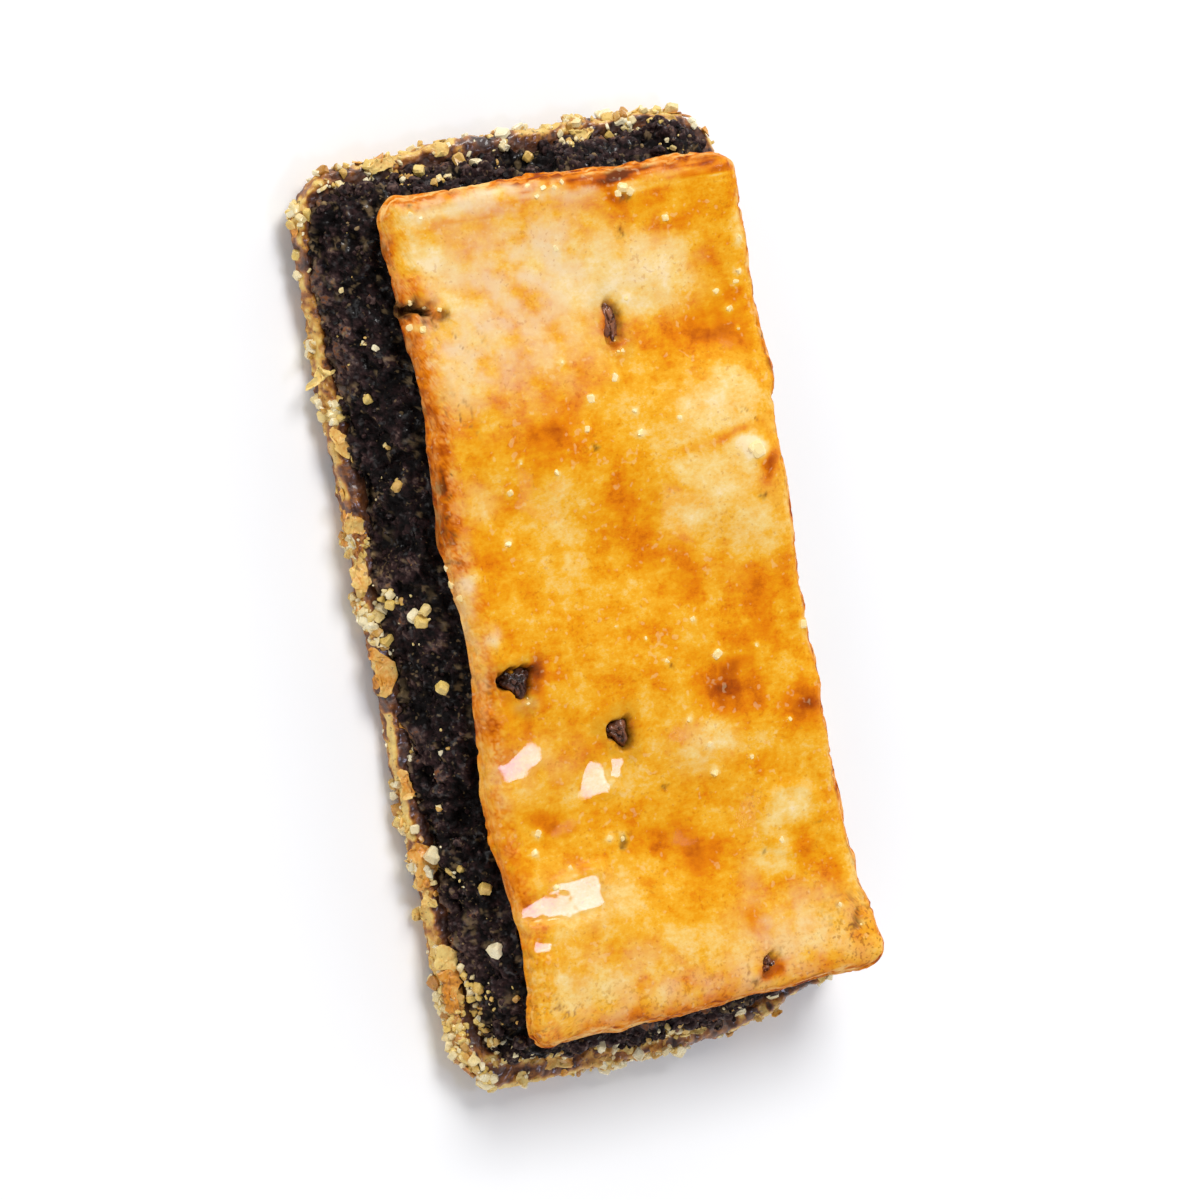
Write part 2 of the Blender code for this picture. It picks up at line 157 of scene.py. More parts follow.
@dataclass
class Shell:
    """A mesh as arrays.

    Attributes:
        points: One row for each point, in millimetres.
        corners: The faces' point numbers, end to end.
        sides: How many corners each face has.
        values: Named numbers, one for each point, that a material reads as attributes.
    """

    points: Array
    corners: Array
    sides: Array
    values: dict[str, Array] = field(default_factory=dict)

    def starts(self) -> Array:
        """Where each face's corners begin."""
        return np.concatenate([[0], np.cumsum(self.sides)[:-1]])

    def normals(self) -> Array:
        """Each point's outward direction: its faces' summed cross products, made unit long."""
        starts = self.starts()
        following = np.arange(1, len(self.corners) + 1)
        following[starts + self.sides - 1] = starts
        beyond = self.points[self.corners[following]]
        areas = np.add.reduceat(np.cross(self.points[self.corners], beyond), starts, axis=0)
        spread = np.repeat(areas, self.sides, axis=0)
        count = len(self.points)
        summed = [np.bincount(self.corners, column, minlength=count) for column in spread.T]
        out = np.stack(summed, axis=1)
        return out / np.maximum(np.linalg.norm(out, axis=1, keepdims=True), 1e-12)

    def push(self, amount: Array) -> None:
        """Moves each point along its outward direction."""
        self.points = self.points + self.normals() * amount[:, None]

    def mark(self, key: str, numbers: Array) -> None:
        """Gives every point of a copy the copy's own number."""
        self.values[key] = np.repeat(numbers, len(self.points) // len(numbers))

    def piece(self, name: str, finish: bpy.types.Material, smooth: bool = True) -> bpy.types.Object:
        """Makes the mesh and its object, which stays at the origin.

        Args:
            name: The piece's name.
            finish: Its material.
            smooth: Whether its faces are shaded smooth.

        Returns:
            The new object.
        """
        mesh = bpy.data.meshes.new(name)
        mesh.vertices.add(len(self.points))
        mesh.vertices.foreach_set("co", (self.points * MM).astype(np.float32).ravel())
        mesh.loops.add(len(self.corners))
        mesh.loops.foreach_set("vertex_index", self.corners.astype(np.int32))
        mesh.polygons.add(len(self.sides))
        mesh.polygons.foreach_set("loop_start", self.starts().astype(np.int32))
        mesh.polygons.foreach_set("use_smooth", np.full(len(self.sides), smooth))
        for key, value in self.values.items():
            mesh.attributes.new(key, "FLOAT", "POINT").data.foreach_set("value", value.astype(np.float32))
        mesh.update(calc_edges=True)
        mesh.validate()
        mesh.materials.append(finish)
        made = bpy.data.objects.new(name, mesh)
        bpy.context.scene.collection.objects.link(made)
        return made


def globe(turns: int, rows: int, squareness: float = 1.0) -> Shell:
    """A closed rounded form of unit half size, on a grid of longitude and latitude with two poles.

    Each coordinate of a sphere keeps its sign and is raised to the power of the squareness, so that
    1 gives a sphere and 0.3 a block with bevelled edges.

    Args:
        turns: How many points go round each row.
        rows: How many rows lie between the poles.
        squareness: The power.

    Returns:
        The form.
    """
    longitude = (np.arange(turns) + 0.5) * 2 * math.pi / turns
    latitude = (((np.arange(rows) + 0.5) / rows - 0.5) * math.pi)[:, None]
    level = np.cos(latitude)
    axes = np.broadcast_arrays(level * np.cos(longitude), level * np.sin(longitude), np.sin(latitude))
    points = np.vstack([np.stack(axes, axis=2).reshape(-1, 3), [[0, 0, -1], [0, 0, 1]]])
    points = np.sign(points) * np.abs(points) ** squareness
    k = np.arange(turns)
    following = (k + 1) % turns
    row = (np.arange(rows - 1) * turns)[:, None]
    quads = np.stack([row + k, row + following, row + turns + following, row + turns + k], axis=2)
    south = np.stack([following, k, np.full(turns, rows * turns)], axis=1)
    top = (rows - 1) * turns
    north = np.stack([top + k, top + following, np.full(turns, rows * turns + 1)], axis=1)
    corners = np.concatenate([quads.ravel(), south.ravel(), north.ravel()])
    return Shell(points, corners, np.repeat([4, 3], [top, 2 * turns]))


def heap(pattern: Shell, places: Array, axes: Array) -> Shell:
    """Copies of one form: each copy's points are its place plus the pattern's times its three axes.

    Args:
        pattern: The form to repeat.
        places: The copies' middles, one row each.
        axes: For each copy, three rows: where the pattern's x, y and z axes go, with their lengths.

    Returns:
        All copies as one shell.
    """
    points = places[:, None, :] + np.einsum("pk,nkj->npj", pattern.points, axes)
    corners = pattern.corners[None, :] + (np.arange(len(places)) * len(pattern.points))[:, None]
    return Shell(points.reshape(-1, 3), corners.ravel(), np.tile(pattern.sides, len(places)))


def unit(rows: Array) -> Array:
    """Rows made unit long."""
    return rows / np.linalg.norm(rows, axis=1, keepdims=True)


def axes_along(normals: Array, sizes: Array, tilt: float, rng: Chance) -> Array:
    """Three axes for each copy: the third leans off its normal by chance, the others are square to it.

    Args:
        normals: The directions that the copies stand in.
        sizes: Each copy's three half sizes.
        tilt: How strongly chance leans a copy: 0 stands it upright, 3 turns it any way.
        rng: Where the chances come from.

    Returns:
        An array of three rows for each copy.
    """
    up = unit(normals + tilt * rng.normal(size=normals.shape) * 0.5)
    side = unit(np.cross(up, rng.normal(size=normals.shape)))
    return np.stack([side, np.cross(up, side), up], axis=1) * sizes[:, :, None]


# The biscuit's form, as its source makes it

# Soft bumps on the lid, and hollows where the height is below zero: x, y, radius, height
SWELLS = (
    (9.4, 31.8, 4.2, 0.55), (14.7, 16.8, 4.0, 0.45), (13.9, 7.6, 5.4, 0.55), (13.9, -26.0, 4.6, 0.55),
    (-3.7, 13.4, 4.0, 0.35), (-8.6, 33.0, 7.5, 0.35), (-8.0, -31.5, 5.5, 0.35), (5.6, -16.6, 3.2, 0.35),
    (-14.6, -17.5, 3.4, 0.35), (2.8, 4.0, 6.0, -0.4), (10.5, -12.5, 4.0, -0.5), (18.4, -10.0, 5.0, -0.35),
    (-12.8, -23.0, 3.2, -0.5), (-0.7, -27.0, 4.4, -0.45), (15.6, 25.5, 3.4, -0.4), (-10.5, 10.5, 5.0, -0.3),
)


@dataclass(frozen=True)
class BiscuitForm:
    """The sizes and the faces that the biscuit's three layers share."""

    base_length: float = 97.4
    base_width: float = 48.6
    base_thickness: float = 2.6
    base_end_bow: float = 1.3
    base_taper: float = 0.05
    filling_length: float = 93.4
    filling_width: float = 44.6
    filling_height: float = 8.2
    filling_taper: float = 0.10
    lid_length: float = 87.2
    lid_width: float = 38.8
    lid_offset: float = 1.3
    lid_thickness: float = 2.7
    flat_half_length: float = 27.0
    flat_half_width: float = 13.0
    end_lift: float = 1.5
    side_lift: float = 0.5
    seam_ripple: float = 0.40
    seam_ripple_length: float = 28.0
    seam_sway: float = 0.50
    seam_sway_length: float = 60.0
    seam_crest: float = 23.7
    end_drop: float = 1.0
    lid_edge_wave: float = 0.35
    lid_front_flare: float = 2.3
    lid_back_flare: float = 0.9
    lid_back_skew: float = 0.04
    lid_front_slant: tuple[float, float, float] = (0.9, 16.0, 22.0)
    front_slant: tuple[float, float, float] = (2.2, 8.0, 20.0)
    lump_place: float = 18.2
    lump_radius: float = 2.6
    lump_reach: float = 2.2

    def lift(self, x: Array, y: Array) -> Array:
        """How far the underside stands off the table: square laws beyond the flat middle."""
        flat = (self.flat_half_width, self.flat_half_length)
        whole = (self.base_width / 2, self.base_length / 2)
        across, along = (np.maximum(0, abs(p) - a) / (b - a) for p, a, b in zip((x, y), flat, whole))
        return self.end_lift * along**2 + self.side_lift * across**2

    def ledge(self, x: Array, y: Array) -> Array:
        """The base's upper face: the lift, its thickness and a slight slanting wave."""
        return self.lift(x, y) + self.base_thickness + 0.15 * wave(x + 0.4 * y, 17)

    def seam(self, x: Array, y: Array) -> Array:
        """The filling's upper face: a slanting ripple and a long sway, lower at both ends."""
        slanted = y + 0.3 * (x + self.lid_width / 2) - self.seam_crest
        ripple = self.seam_ripple * wave(slanted, self.seam_ripple_length)
        sway = self.seam_sway * wave(y - 9 + 0.2 * x, self.seam_sway_length)
        drop = self.end_drop * (2 * y / self.lid_length) ** 4
        return self.base_thickness + self.filling_height + self.lift(x, y) + ripple + sway - drop

    def relief(self, x: Array, y: Array) -> Array:
        """The lid's own relief: a shallow cross ripple and a bell-shaped swell at each listed place."""
        height = 0.05 * wave(x + 0.5 * y, 9) * wave(y - 0.3 * x, 13)
        for a, b, radius, swell in SWELLS:
            height = height + swell * np.exp(-((x - a) ** 2 + (y - b) ** 2) / radius**2)
        return height

    def lid_floor(self, x: Array, y: Array) -> Array:
        """The lid's underside, a small gap above the filling."""
        return self.seam(x, y) + 0.3

    def lid_roof(self, x: Array, y: Array) -> Array:
        """The glazed face."""
        return self.seam(x, y) + self.lid_thickness + self.relief(x, y)

    def filling_floor(self, x: Array, y: Array) -> Array:
        """The filling's underside, sunk a little into the base so that no gap shows."""
        return self.ledge(x, y) - 0.1

    def filling_roof(self, x: Array, y: Array) -> Array:
        """The filling's upper face, up against the lid so that no gap shows."""
        return self.seam(x, y) + 0.35

    def slant(self, x: Array, along: Array, amount: float, start: float, end: float) -> Array:
        """How far a front edge runs back: a smooth step to the right, and a cube law to the front."""
        return amount * ease(x, start, end) * np.maximum(0, -along) ** 3

    def bow(self, x: Array, width: float, along: Array) -> Array:
        """How far an end's corners stay behind its middle: square across, and a cube law along."""
        return self.base_end_bow * (2 * x / width) ** 2 * abs(along) ** 3

    def uneven_base(self, x: Array, y: Array, rise: Array) -> tuple[Array, Array]:
        """Bows both ends, slants the front edge and narrows the base towards its front."""
        along = 2 * y / self.base_length
        narrowed = 1 - self.base_taper * ((1 - along) / 2) ** 2
        bowed = y - np.sign(y) * self.bow(x, self.base_width, along)
        return x * narrowed, bowed + self.slant(x, along, *self.front_slant)

    def uneven_filling(self, x: Array, y: Array, rise: Array) -> tuple[Array, Array]:
        """Narrows the foot to the front, slants the front edge and pushes out the lump at the back."""
        along = 2 * y / self.filling_length
        narrowed = 1 - self.filling_taper * ((1 - along) / 2) ** 2
        lump = self.lump_reach * bell(x - self.lump_place, self.lump_radius) * np.maximum(0, along) ** 9
        bowed = y - np.sign(y) * (self.bow(x, self.filling_width, along) * (1 - rise))
        pushed = bowed + lump * np.sin(math.pi * rise) + self.slant(x, along, *self.front_slant)
        return x * (narrowed + (1 - narrowed) * rise), pushed

    def uneven_lid(self, x: Array, y: Array, rise: Array) -> tuple[Array, Array]:
        """The lid's uneven cut: a wavy left edge, wider right corners, slanting back and front edges."""
        across = 2 * x / self.lid_width
        along = 2 * y / self.lid_length
        front = self.lid_front_flare * np.maximum(0, -along) ** 4
        back = self.lid_back_flare * np.clip((along - 0.33) / 0.1, 0, 1)
        edge = self.lid_edge_wave * wave(y - self.seam_crest, self.seam_ripple_length)
        skew = self.lid_back_skew * x * np.maximum(0, along) ** 3
        slanted = y - skew + self.slant(x, along, *self.lid_front_slant)
        return x + np.maximum(0, across) * (front + back) + edge * np.maximum(0, -across), slanted


def pastry_crumb(points: Array) -> Array:
    """How far a cut pastry edge stands out: two noises of 4 and 1.7 mm."""
    return 0.25 * soft_noise(points, 4.0, 1) + 0.20 * soft_noise(points, 1.7, 2)


def filling_crumb(points: Array) -> Array:
    """How far the torn filling stands out: big lumps, then crumb, with deeper gaps."""
    gaps = np.minimum(0, soft_noise(points, 3.2, 5) + 0.25)
    return 0.55 * soft_noise(points, 5.0, 3) + 0.40 * soft_noise(points, 2.2, 4) + 1.3 * gaps


def front_left(points: Array) -> Array:
    """A bell round the front left corner, where most crumbs have gathered."""
    return bell(points[:, 0] + 21.5, 2.6) * bell(points[:, 1] + 40, 4.5)


@dataclass(frozen=True)
class Layer:
    """One layer: half width and half length at its foot and head, its two faces and its rough sides."""

    foot: tuple[float, float]
    head: tuple[float, float]
    foot_offset: float
    head_offset: float
    corner: float
    bulge: float
    roll_width: float
    upper_drop: float
    lower_drop: float
    floor: Face
    roof: Face
    uneven: Callable[[Array, Array, Array], tuple[Array, Array]]
    crumb: Callable[[Array], Array]

    def halves(self, rise: Array) -> tuple[Array, Array]:
        """Half the width and half the length at a share of the height, with the bulge of a half sine."""
        swell = self.bulge * np.sin(math.pi * rise)
        width, length = (foot + (head - foot) * rise + swell for foot, head in zip(self.foot, self.head))
        return width, length

    def rounded(self, x: Array, y: Array, half_width: Array, half_length: Array) -> tuple[Array, Array]:
        """Moves a sharp rectangle's points to one with round corners, by the map of a square to a disc."""
        a = np.clip((abs(x) - half_width + self.corner) / self.corner, 0, 1)
        b = np.clip((abs(y) - half_length + self.corner) / self.corner, 0, 1)
        x = x + np.sign(x) * self.corner * (a * np.sqrt(1 - b * b / 2) - a)
        return x, y + np.sign(y) * self.corner * (b * np.sqrt(1 - a * a / 2) - b)

    def place(self, u: Array, v: Array, rise: Array) -> tuple[Array, Array]:
        """Where points of the layer go.

        The outline is a round-cornered rectangle made uneven. The crumb pushes the sides out near the
        rim, and both faces curl away towards it by one less the height of a quarter circle.

        Args:
            u: Places across, from -1 to 1.
            v: Places along, from -1 to 1.
            rise: Shares of the height, from 0 to 1.

        Returns:
            The points, and how far in from the rim each one is.
        """
        half_width, half_length = self.halves(rise)
        x, y = self.rounded(u * half_width, v * half_length, half_width, half_length)
        x, y = self.uneven(x, y, rise)
        x = x + self.foot_offset + (self.head_offset - self.foot_offset) * rise
        inset = np.minimum((1 - abs(u)) * half_width, (1 - abs(v)) * half_length)
        outward = np.stack([u**9, v**9], axis=1)
        outward /= np.maximum(np.linalg.norm(outward, axis=1, keepdims=True), 1e-9)
        height = self.floor(x, y) + (self.roof(x, y) - self.floor(x, y)) * rise
        push = self.crumb(np.stack([x, y, height], axis=1)) * np.exp(-inset / 1.5)
        x = x + outward[:, 0] * push
        y = y + outward[:, 1] * push
        depth = np.maximum(0, 1 - inset / self.roll_width)
        eased = 1 - np.sqrt(1 - depth * depth)
        low = self.floor(x, y) + self.lower_drop * eased
        high = self.roof(x, y) - self.upper_drop * eased
        return np.stack([x, y, low + (high - low) * rise], axis=1), inset

    def profile(self, under: Sequence[float], rows: tuple[int, int, int], upper: Sequence[float]) -> Array:
        """The path of a section's skin, as rows of inset and share of the height.

        It runs in along the under face, round the lower rim, up the wall, round the upper rim and in
        along the upper face. On a rim the inset is the roll's width times one less a sine, which
        spaces the rows evenly on the curl.

        Args:
            under: Insets on the under face, beyond the roll.
            rows: How many rows the lower rim, the wall and the upper rim have.
            upper: Insets on the upper face, beyond the roll.

        Returns:
            The rows.
        """
        low, wall, high = rows
        curl_in = self.roll_width * (1 - np.sin(np.linspace(0, math.pi / 2, low, endpoint=False)))
        curl_out = self.roll_width * (1 - np.cos(np.linspace(0, math.pi / 2, high + 1)[1:]))
        insets = np.concatenate([under, curl_in, np.zeros(wall + 1), curl_out, upper])
        rises = [np.zeros(len(under) + low), np.linspace(0, 1, wall + 1), np.ones(high + len(upper))]
        return np.stack([insets, np.concatenate(rises)], axis=1)

    def skin(self, across: int, along: int, profile: Array, steps: tuple[int, int]) -> Shell:
        """The layer's closed skin: rings along its profile, and a coarser grid in each face's middle.

        Args:
            across: Points along each end.
            along: Points along each side.
            profile: Rows of inset and share of the height.
            steps: How many times coarser the under and the upper face's middle are.

        Returns:
            The skin, with each point's inset and share of the height as values.
        """
        ring_u, ring_v = ring(across, along)
        inset, rise = profile[:, :1], profile[:, 1:]
        half_width, half_length = self.halves(rise)
        u = [(ring_u * (1 - inset / half_width)).ravel()]
        v = [(ring_v * (1 - inset / half_length)).ravel()]
        round_count, rows = len(ring_u), len(profile)
        rises = [np.repeat(profile[:, 1], round_count)]
        k = np.arange(round_count)
        following = (k + 1) % round_count
        row = (np.arange(rows - 1) * round_count)[:, None]
        above = row + round_count
        corners = [np.stack([row + k, row + following, above + following, above + k], axis=2).ravel()]
        sides = [np.full((rows - 1) * round_count, 4)]
        base = rows * round_count
        for upper, step in enumerate(steps):
            edge_row = upper * (rows - 1)
            m, n = across // step, along // step
            widths, lengths = self.halves(np.array([float(upper)]))
            deeper = profile[edge_row, 0] + 0.25 * step
            grid_u, grid_v = np.meshgrid(
                np.linspace(-1, 1, m + 1) * (1 - deeper / widths[0]),
                np.linspace(-1, 1, n + 1) * (1 - deeper / lengths[0]),
                indexing="ij",
            )
            u.append(grid_u.ravel())
            v.append(grid_v.ravel())
            rises.append(np.full(grid_u.size, float(upper)))
            numbers = base + np.arange(grid_u.size).reshape(m + 1, n + 1)
            left, right = numbers[:-1], numbers[1:]
            quads = np.stack([left[:, :-1], right[:, :-1], right[:, 1:], left[:, 1:]], axis=2)
            inner = [numbers[:-1, 0], numbers[-1, :-1], numbers[:0:-1, -1], numbers[0, :0:-1]]
            inner = np.concatenate(inner)
            fine = np.arange(len(inner))[:, None] * step + np.arange(step + 1)
            fine = edge_row * round_count + fine % round_count
            stitch = np.concatenate([fine, np.roll(inner, -1)[:, None], inner[:, None]], axis=1)
            order = slice(None, None, 1 if upper else -1)
            corners += [quads[:, :, order].ravel(), stitch[:, order].ravel()]
            sides += [np.full(m * n, 4), np.full(len(inner), step + 3)]
            base += grid_u.size
        points, insets = self.place(*map(np.concatenate, (u, v, rises)))
        shell = Shell(points, np.concatenate(corners), np.concatenate(sides))
        shell.values = {"inset": insets, "rise": np.concatenate(rises)}
        return shell


def ring(across: int, along: int) -> tuple[Array, Array]:
    """The edge of a square from -1 to 1, walked from its front left corner by way of its front right."""
    a = np.linspace(-1, 1, across, endpoint=False)
    b = np.linspace(-1, 1, along, endpoint=False)
    u = np.concatenate([a, np.ones(along), -a, -np.ones(along)])
    return u, np.concatenate([-np.ones(across), b, np.ones(across), -b])


# Finishes


def srgb(red: int, green: int, blue: int) -> Colour:
    """A screen colour from 0 to 255 as a linear one, by the usual power curve with its straight foot."""
    parts = [value / 255 for value in (red, green, blue)]
    return (*[part / 12.92 if part <= 0.04045 else ((part + 0.055) / 1.055) ** 2.4 for part in parts], 1.0)


class Effect(Enum):
    """An effect that several finishes share, as a node group."""

    FLECKS = "Flecks"
    MOTTLE = "Mottle"
    GRAIN = "Grain"


EFFECTS: dict[Effect, bpy.types.NodeTree] = {}


class Board:
    """Adds nodes to one tree and links what they are given."""

    def __init__(self, tree: bpy.types.NodeTree) -> None:
        """Takes the tree to work on."""
        self.tree = tree

    def feed(self, socket: Socket, value: object) -> None:
        """Links a socket to another one, or sets its value."""
        if isinstance(value, Socket):
            self.tree.links.new(value, socket)
        else:
            socket.default_value = value

    def add(self, kind: str, inputs: dict | None = None, **settings: object) -> bpy.types.Node:
        """Adds one node.

        Args:
            kind: Its type, without the leading ShaderNode.
            inputs: What goes into its sockets, by name or number.
            settings: Its own options.

        Returns:
            The node.
        """
        node = self.tree.nodes.new("ShaderNode" + kind)
        for key, value in settings.items():
            setattr(node, key, value)
        for key, value in (inputs or {}).items():
            self.feed(node.inputs[key], value)
        return node

    def math(self, operation: str, a: object, b: object = 0.0, clamp: bool = False) -> Socket:
        """One arithmetic step."""
        return self.add("Math", {0: a, 1: b}, operation=operation, use_clamp=clamp).outputs[0]

    def product(self, first: object, *others: object) -> object:
        """Numbers and sockets multiplied one after another."""
        for other in others:
            first = self.math("MULTIPLY", first, other)
        return first

    def blend(self, share: object, a: object, b: object) -> Socket:
        """A colour between two others."""
        return self.add("Mix", {0: share, 6: a, 7: b}, data_type="RGBA").outputs[2]

    def remap(self, value: object, low: float, high: float, to_low: float, to_high: float) -> Socket:
        """A value carried from one range to another, and kept within it."""
        places = {"Value": value, "From Min": low, "From Max": high, "To Min": to_low, "To Max": to_high}
        return self.add("MapRange", places).outputs[0]

    def ramp(self, value: object, stops: Sequence[tuple[float, Colour]]) -> Socket:
        """A colour for each value, from stops of place and colour.

        Args:
            value: What is looked up.
            stops: At least two places from 0 to 1, each with its colour.

        Returns:
            The colour.
        """
        node = self.add("ValToRGB", {0: value})
        elements = node.color_ramp.elements
        while len(elements) < len(stops):
            elements.new(0.5)
        for element, (place, colour) in zip(elements, stops):
            element.position = place
            element.color = colour
        return node.outputs[0]

    def noise(self, vector: object, scale: object, detail: float = 2.0) -> Socket:
        """A noise from 0 to 1, with its scale in waves to the metre."""
        return self.add("TexNoise", {"Vector": vector, "Scale": scale, "Detail": detail}).outputs[0]

    def attribute(self, name: str) -> Socket:
        """A mesh's own value by name."""
        return self.add("Attribute", attribute_name=name).outputs["Fac"]

    def mapped(self, vector: object, **settings: Row) -> Socket:
        """A vector moved, turned or scaled."""
        named = {key.title(): value for key, value in settings.items()}
        return self.add("Mapping", {"Vector": vector} | named).outputs[0]

    def effect(self, effect: Effect, vector: object, first: float, second: float) -> Socket:
        """Places a shared effect and gives its output.

        Args:
            effect: Which effect it is.
            vector: Where it is read.
            first: Its scale.
            second: Its share, height or cells.

        Returns:
            The group's output.
        """
        node = self.add("Group", node_tree=EFFECTS[effect])
        for number, value in enumerate((vector, first, second)):
            self.feed(node.inputs[number], value)
        return node.outputs[0]


def start_effect(effect: Effect, second: str, output: str) -> tuple[Board, list[Socket], Socket]:
    """Opens a shared node group that takes a vector, a scale and one more number.

    Args:
        effect: Which effect it is.
        second: Name of the other number.
        output: Name of the value that comes out.

    Returns:
        A board on the group, its three input sockets and its output socket.
    """
    tree = bpy.data.node_groups.new(effect.value, "ShaderNodeTree")
    tree.interface.new_socket("Vector", in_out="INPUT", socket_type="NodeSocketVector")
    for name, way in (("Scale", "INPUT"), (second, "INPUT"), (output, "OUTPUT")):
        tree.interface.new_socket(name, in_out=way, socket_type="NodeSocketFloat")
    EFFECTS[effect] = tree
    given = list(tree.nodes.new("NodeGroupInput").outputs)[:3]
    return Board(tree), given, tree.nodes.new("NodeGroupOutput").inputs[0]


def build_effects() -> None:
    """Builds the three shared effects.

    Flecks are a fine noise past a threshold, thinned out by a coarser one. A mottle is two noises
    about zero, one five times finer. A grain's height is rounded cells and a noise.
    """
    board, (vector, scale, share), out = start_effect(Effect.FLECKS, "Share", "Mask")
    fine = board.noise(vector, scale, 1.0)
    coarse = board.noise(vector, board.product(scale, 0.13))
    both = board.math("ADD", board.product(fine, 0.7), board.product(coarse, 0.3))
    past = board.math("SUBTRACT", both, board.math("SUBTRACT", 0.72, board.product(share, 0.3)))
    board.feed(out, board.math("MULTIPLY", past, 18.0, clamp=True))

    board, (vector, scale, height), out = start_effect(Effect.MOTTLE, "Height", "Value")
    coarse = board.noise(vector, scale, 3.0)
    fine = board.noise(vector, board.product(scale, 5.0))
    summed = board.math("ADD", coarse, board.product(fine, 0.6))
    board.feed(out, board.product(board.math("SUBTRACT", summed, 0.8), height))

    board, (vector, scale, cells), out = start_effect(Effect.GRAIN, "Cells", "Height")
    stones = board.add("TexVoronoi", {"Vector": vector, "Scale": scale}, feature="SMOOTH_F1")
    rounded = board.product(board.math("SUBTRACT", 1.0, stones.outputs["Distance"]), cells)
    board.feed(out, board.math("ADD", rounded, board.noise(vector, scale, 3.0)))


class Surface:
    """A material in the making: its shader, a board on its tree, and its colour so far."""

    def __init__(self, name: str) -> None:
        """Starts a material."""
        self.made = bpy.data.materials.new(name)
        self.made.use_nodes = True
        self.board = Board(self.made.node_tree)
        self.shader = self.made.node_tree.nodes["Principled BSDF"]
        self.place = self.board.add("TexCoord").outputs["Object"]
        self.colour: object = None

    def set(self, name: str, value: object) -> None:
        """Links or sets one of the shader's sockets."""
        self.board.feed(self.shader.inputs[name], value)

    def cloud(self, scale: float, detail: float, *ranges: float) -> Socket:
        """A noise carried from one range to another."""
        return self.board.remap(self.board.noise(self.place, scale, detail), *ranges)

    def mottle(self, scale: float, height: float) -> Socket:
        """The mottle effect at this material's places."""
        return self.board.effect(Effect.MOTTLE, self.place, scale, height)

    def flecks(self, scale: float, share: float) -> Socket:
        """The flecks effect at this material's places."""
        return self.board.effect(Effect.FLECKS, self.place, scale, share)

    def bake(self, attribute: str, scale: float, height: float, *stops: tuple[float, Colour]) -> None:
        """Colours the surface by a mesh's own value and a mottle."""
        tone = self.board.math("ADD", self.board.attribute(attribute), self.mottle(scale, height))
        self.colour = self.board.ramp(tone, stops)

    def wash(self, colour: object, *masks: object) -> None:
        """Lays a colour over the others, as far as the masks' product says."""
        self.colour = self.board.blend(self.board.product(*masks), self.colour, colour)

    def finish(self, rough: Socket, height: Socket, strength: float, distance: float) -> bpy.types.Material:
        """Feeds the colour, the roughness and a bump to the shader.

        Args:
            rough: The roughness.
            height: The bump's height.
            strength: The bump's strength.
            distance: The bump's depth, in metres.

        Returns:
            The finished material.
        """
        self.set("Base Color", self.colour)
        self.set("Roughness", rough)
        bump = self.board.add("Bump", {"Height": height, "Strength": strength, "Distance": distance})
        self.set("Normal", bump.outputs[0])
        return self.made

    def grained(self, rough: Row, scale: float, cells: float, *bump: float) -> bpy.types.Material:
        """Finishes with a clouded roughness and a grain.

        Args:
            rough: The cloud's scale and detail, then the least and the greatest roughness.
            scale: The grain's scale.
            cells: How strong its cells are.
            bump: The bump's strength and its depth in metres.

        Returns:
            The finished material.
        """
        cloud = self.cloud(*rough[:2], 0.35, 0.65, *rough[2:])
        return self.finish(cloud, self.board.effect(Effect.GRAIN, self.place, scale, cells), *bump)


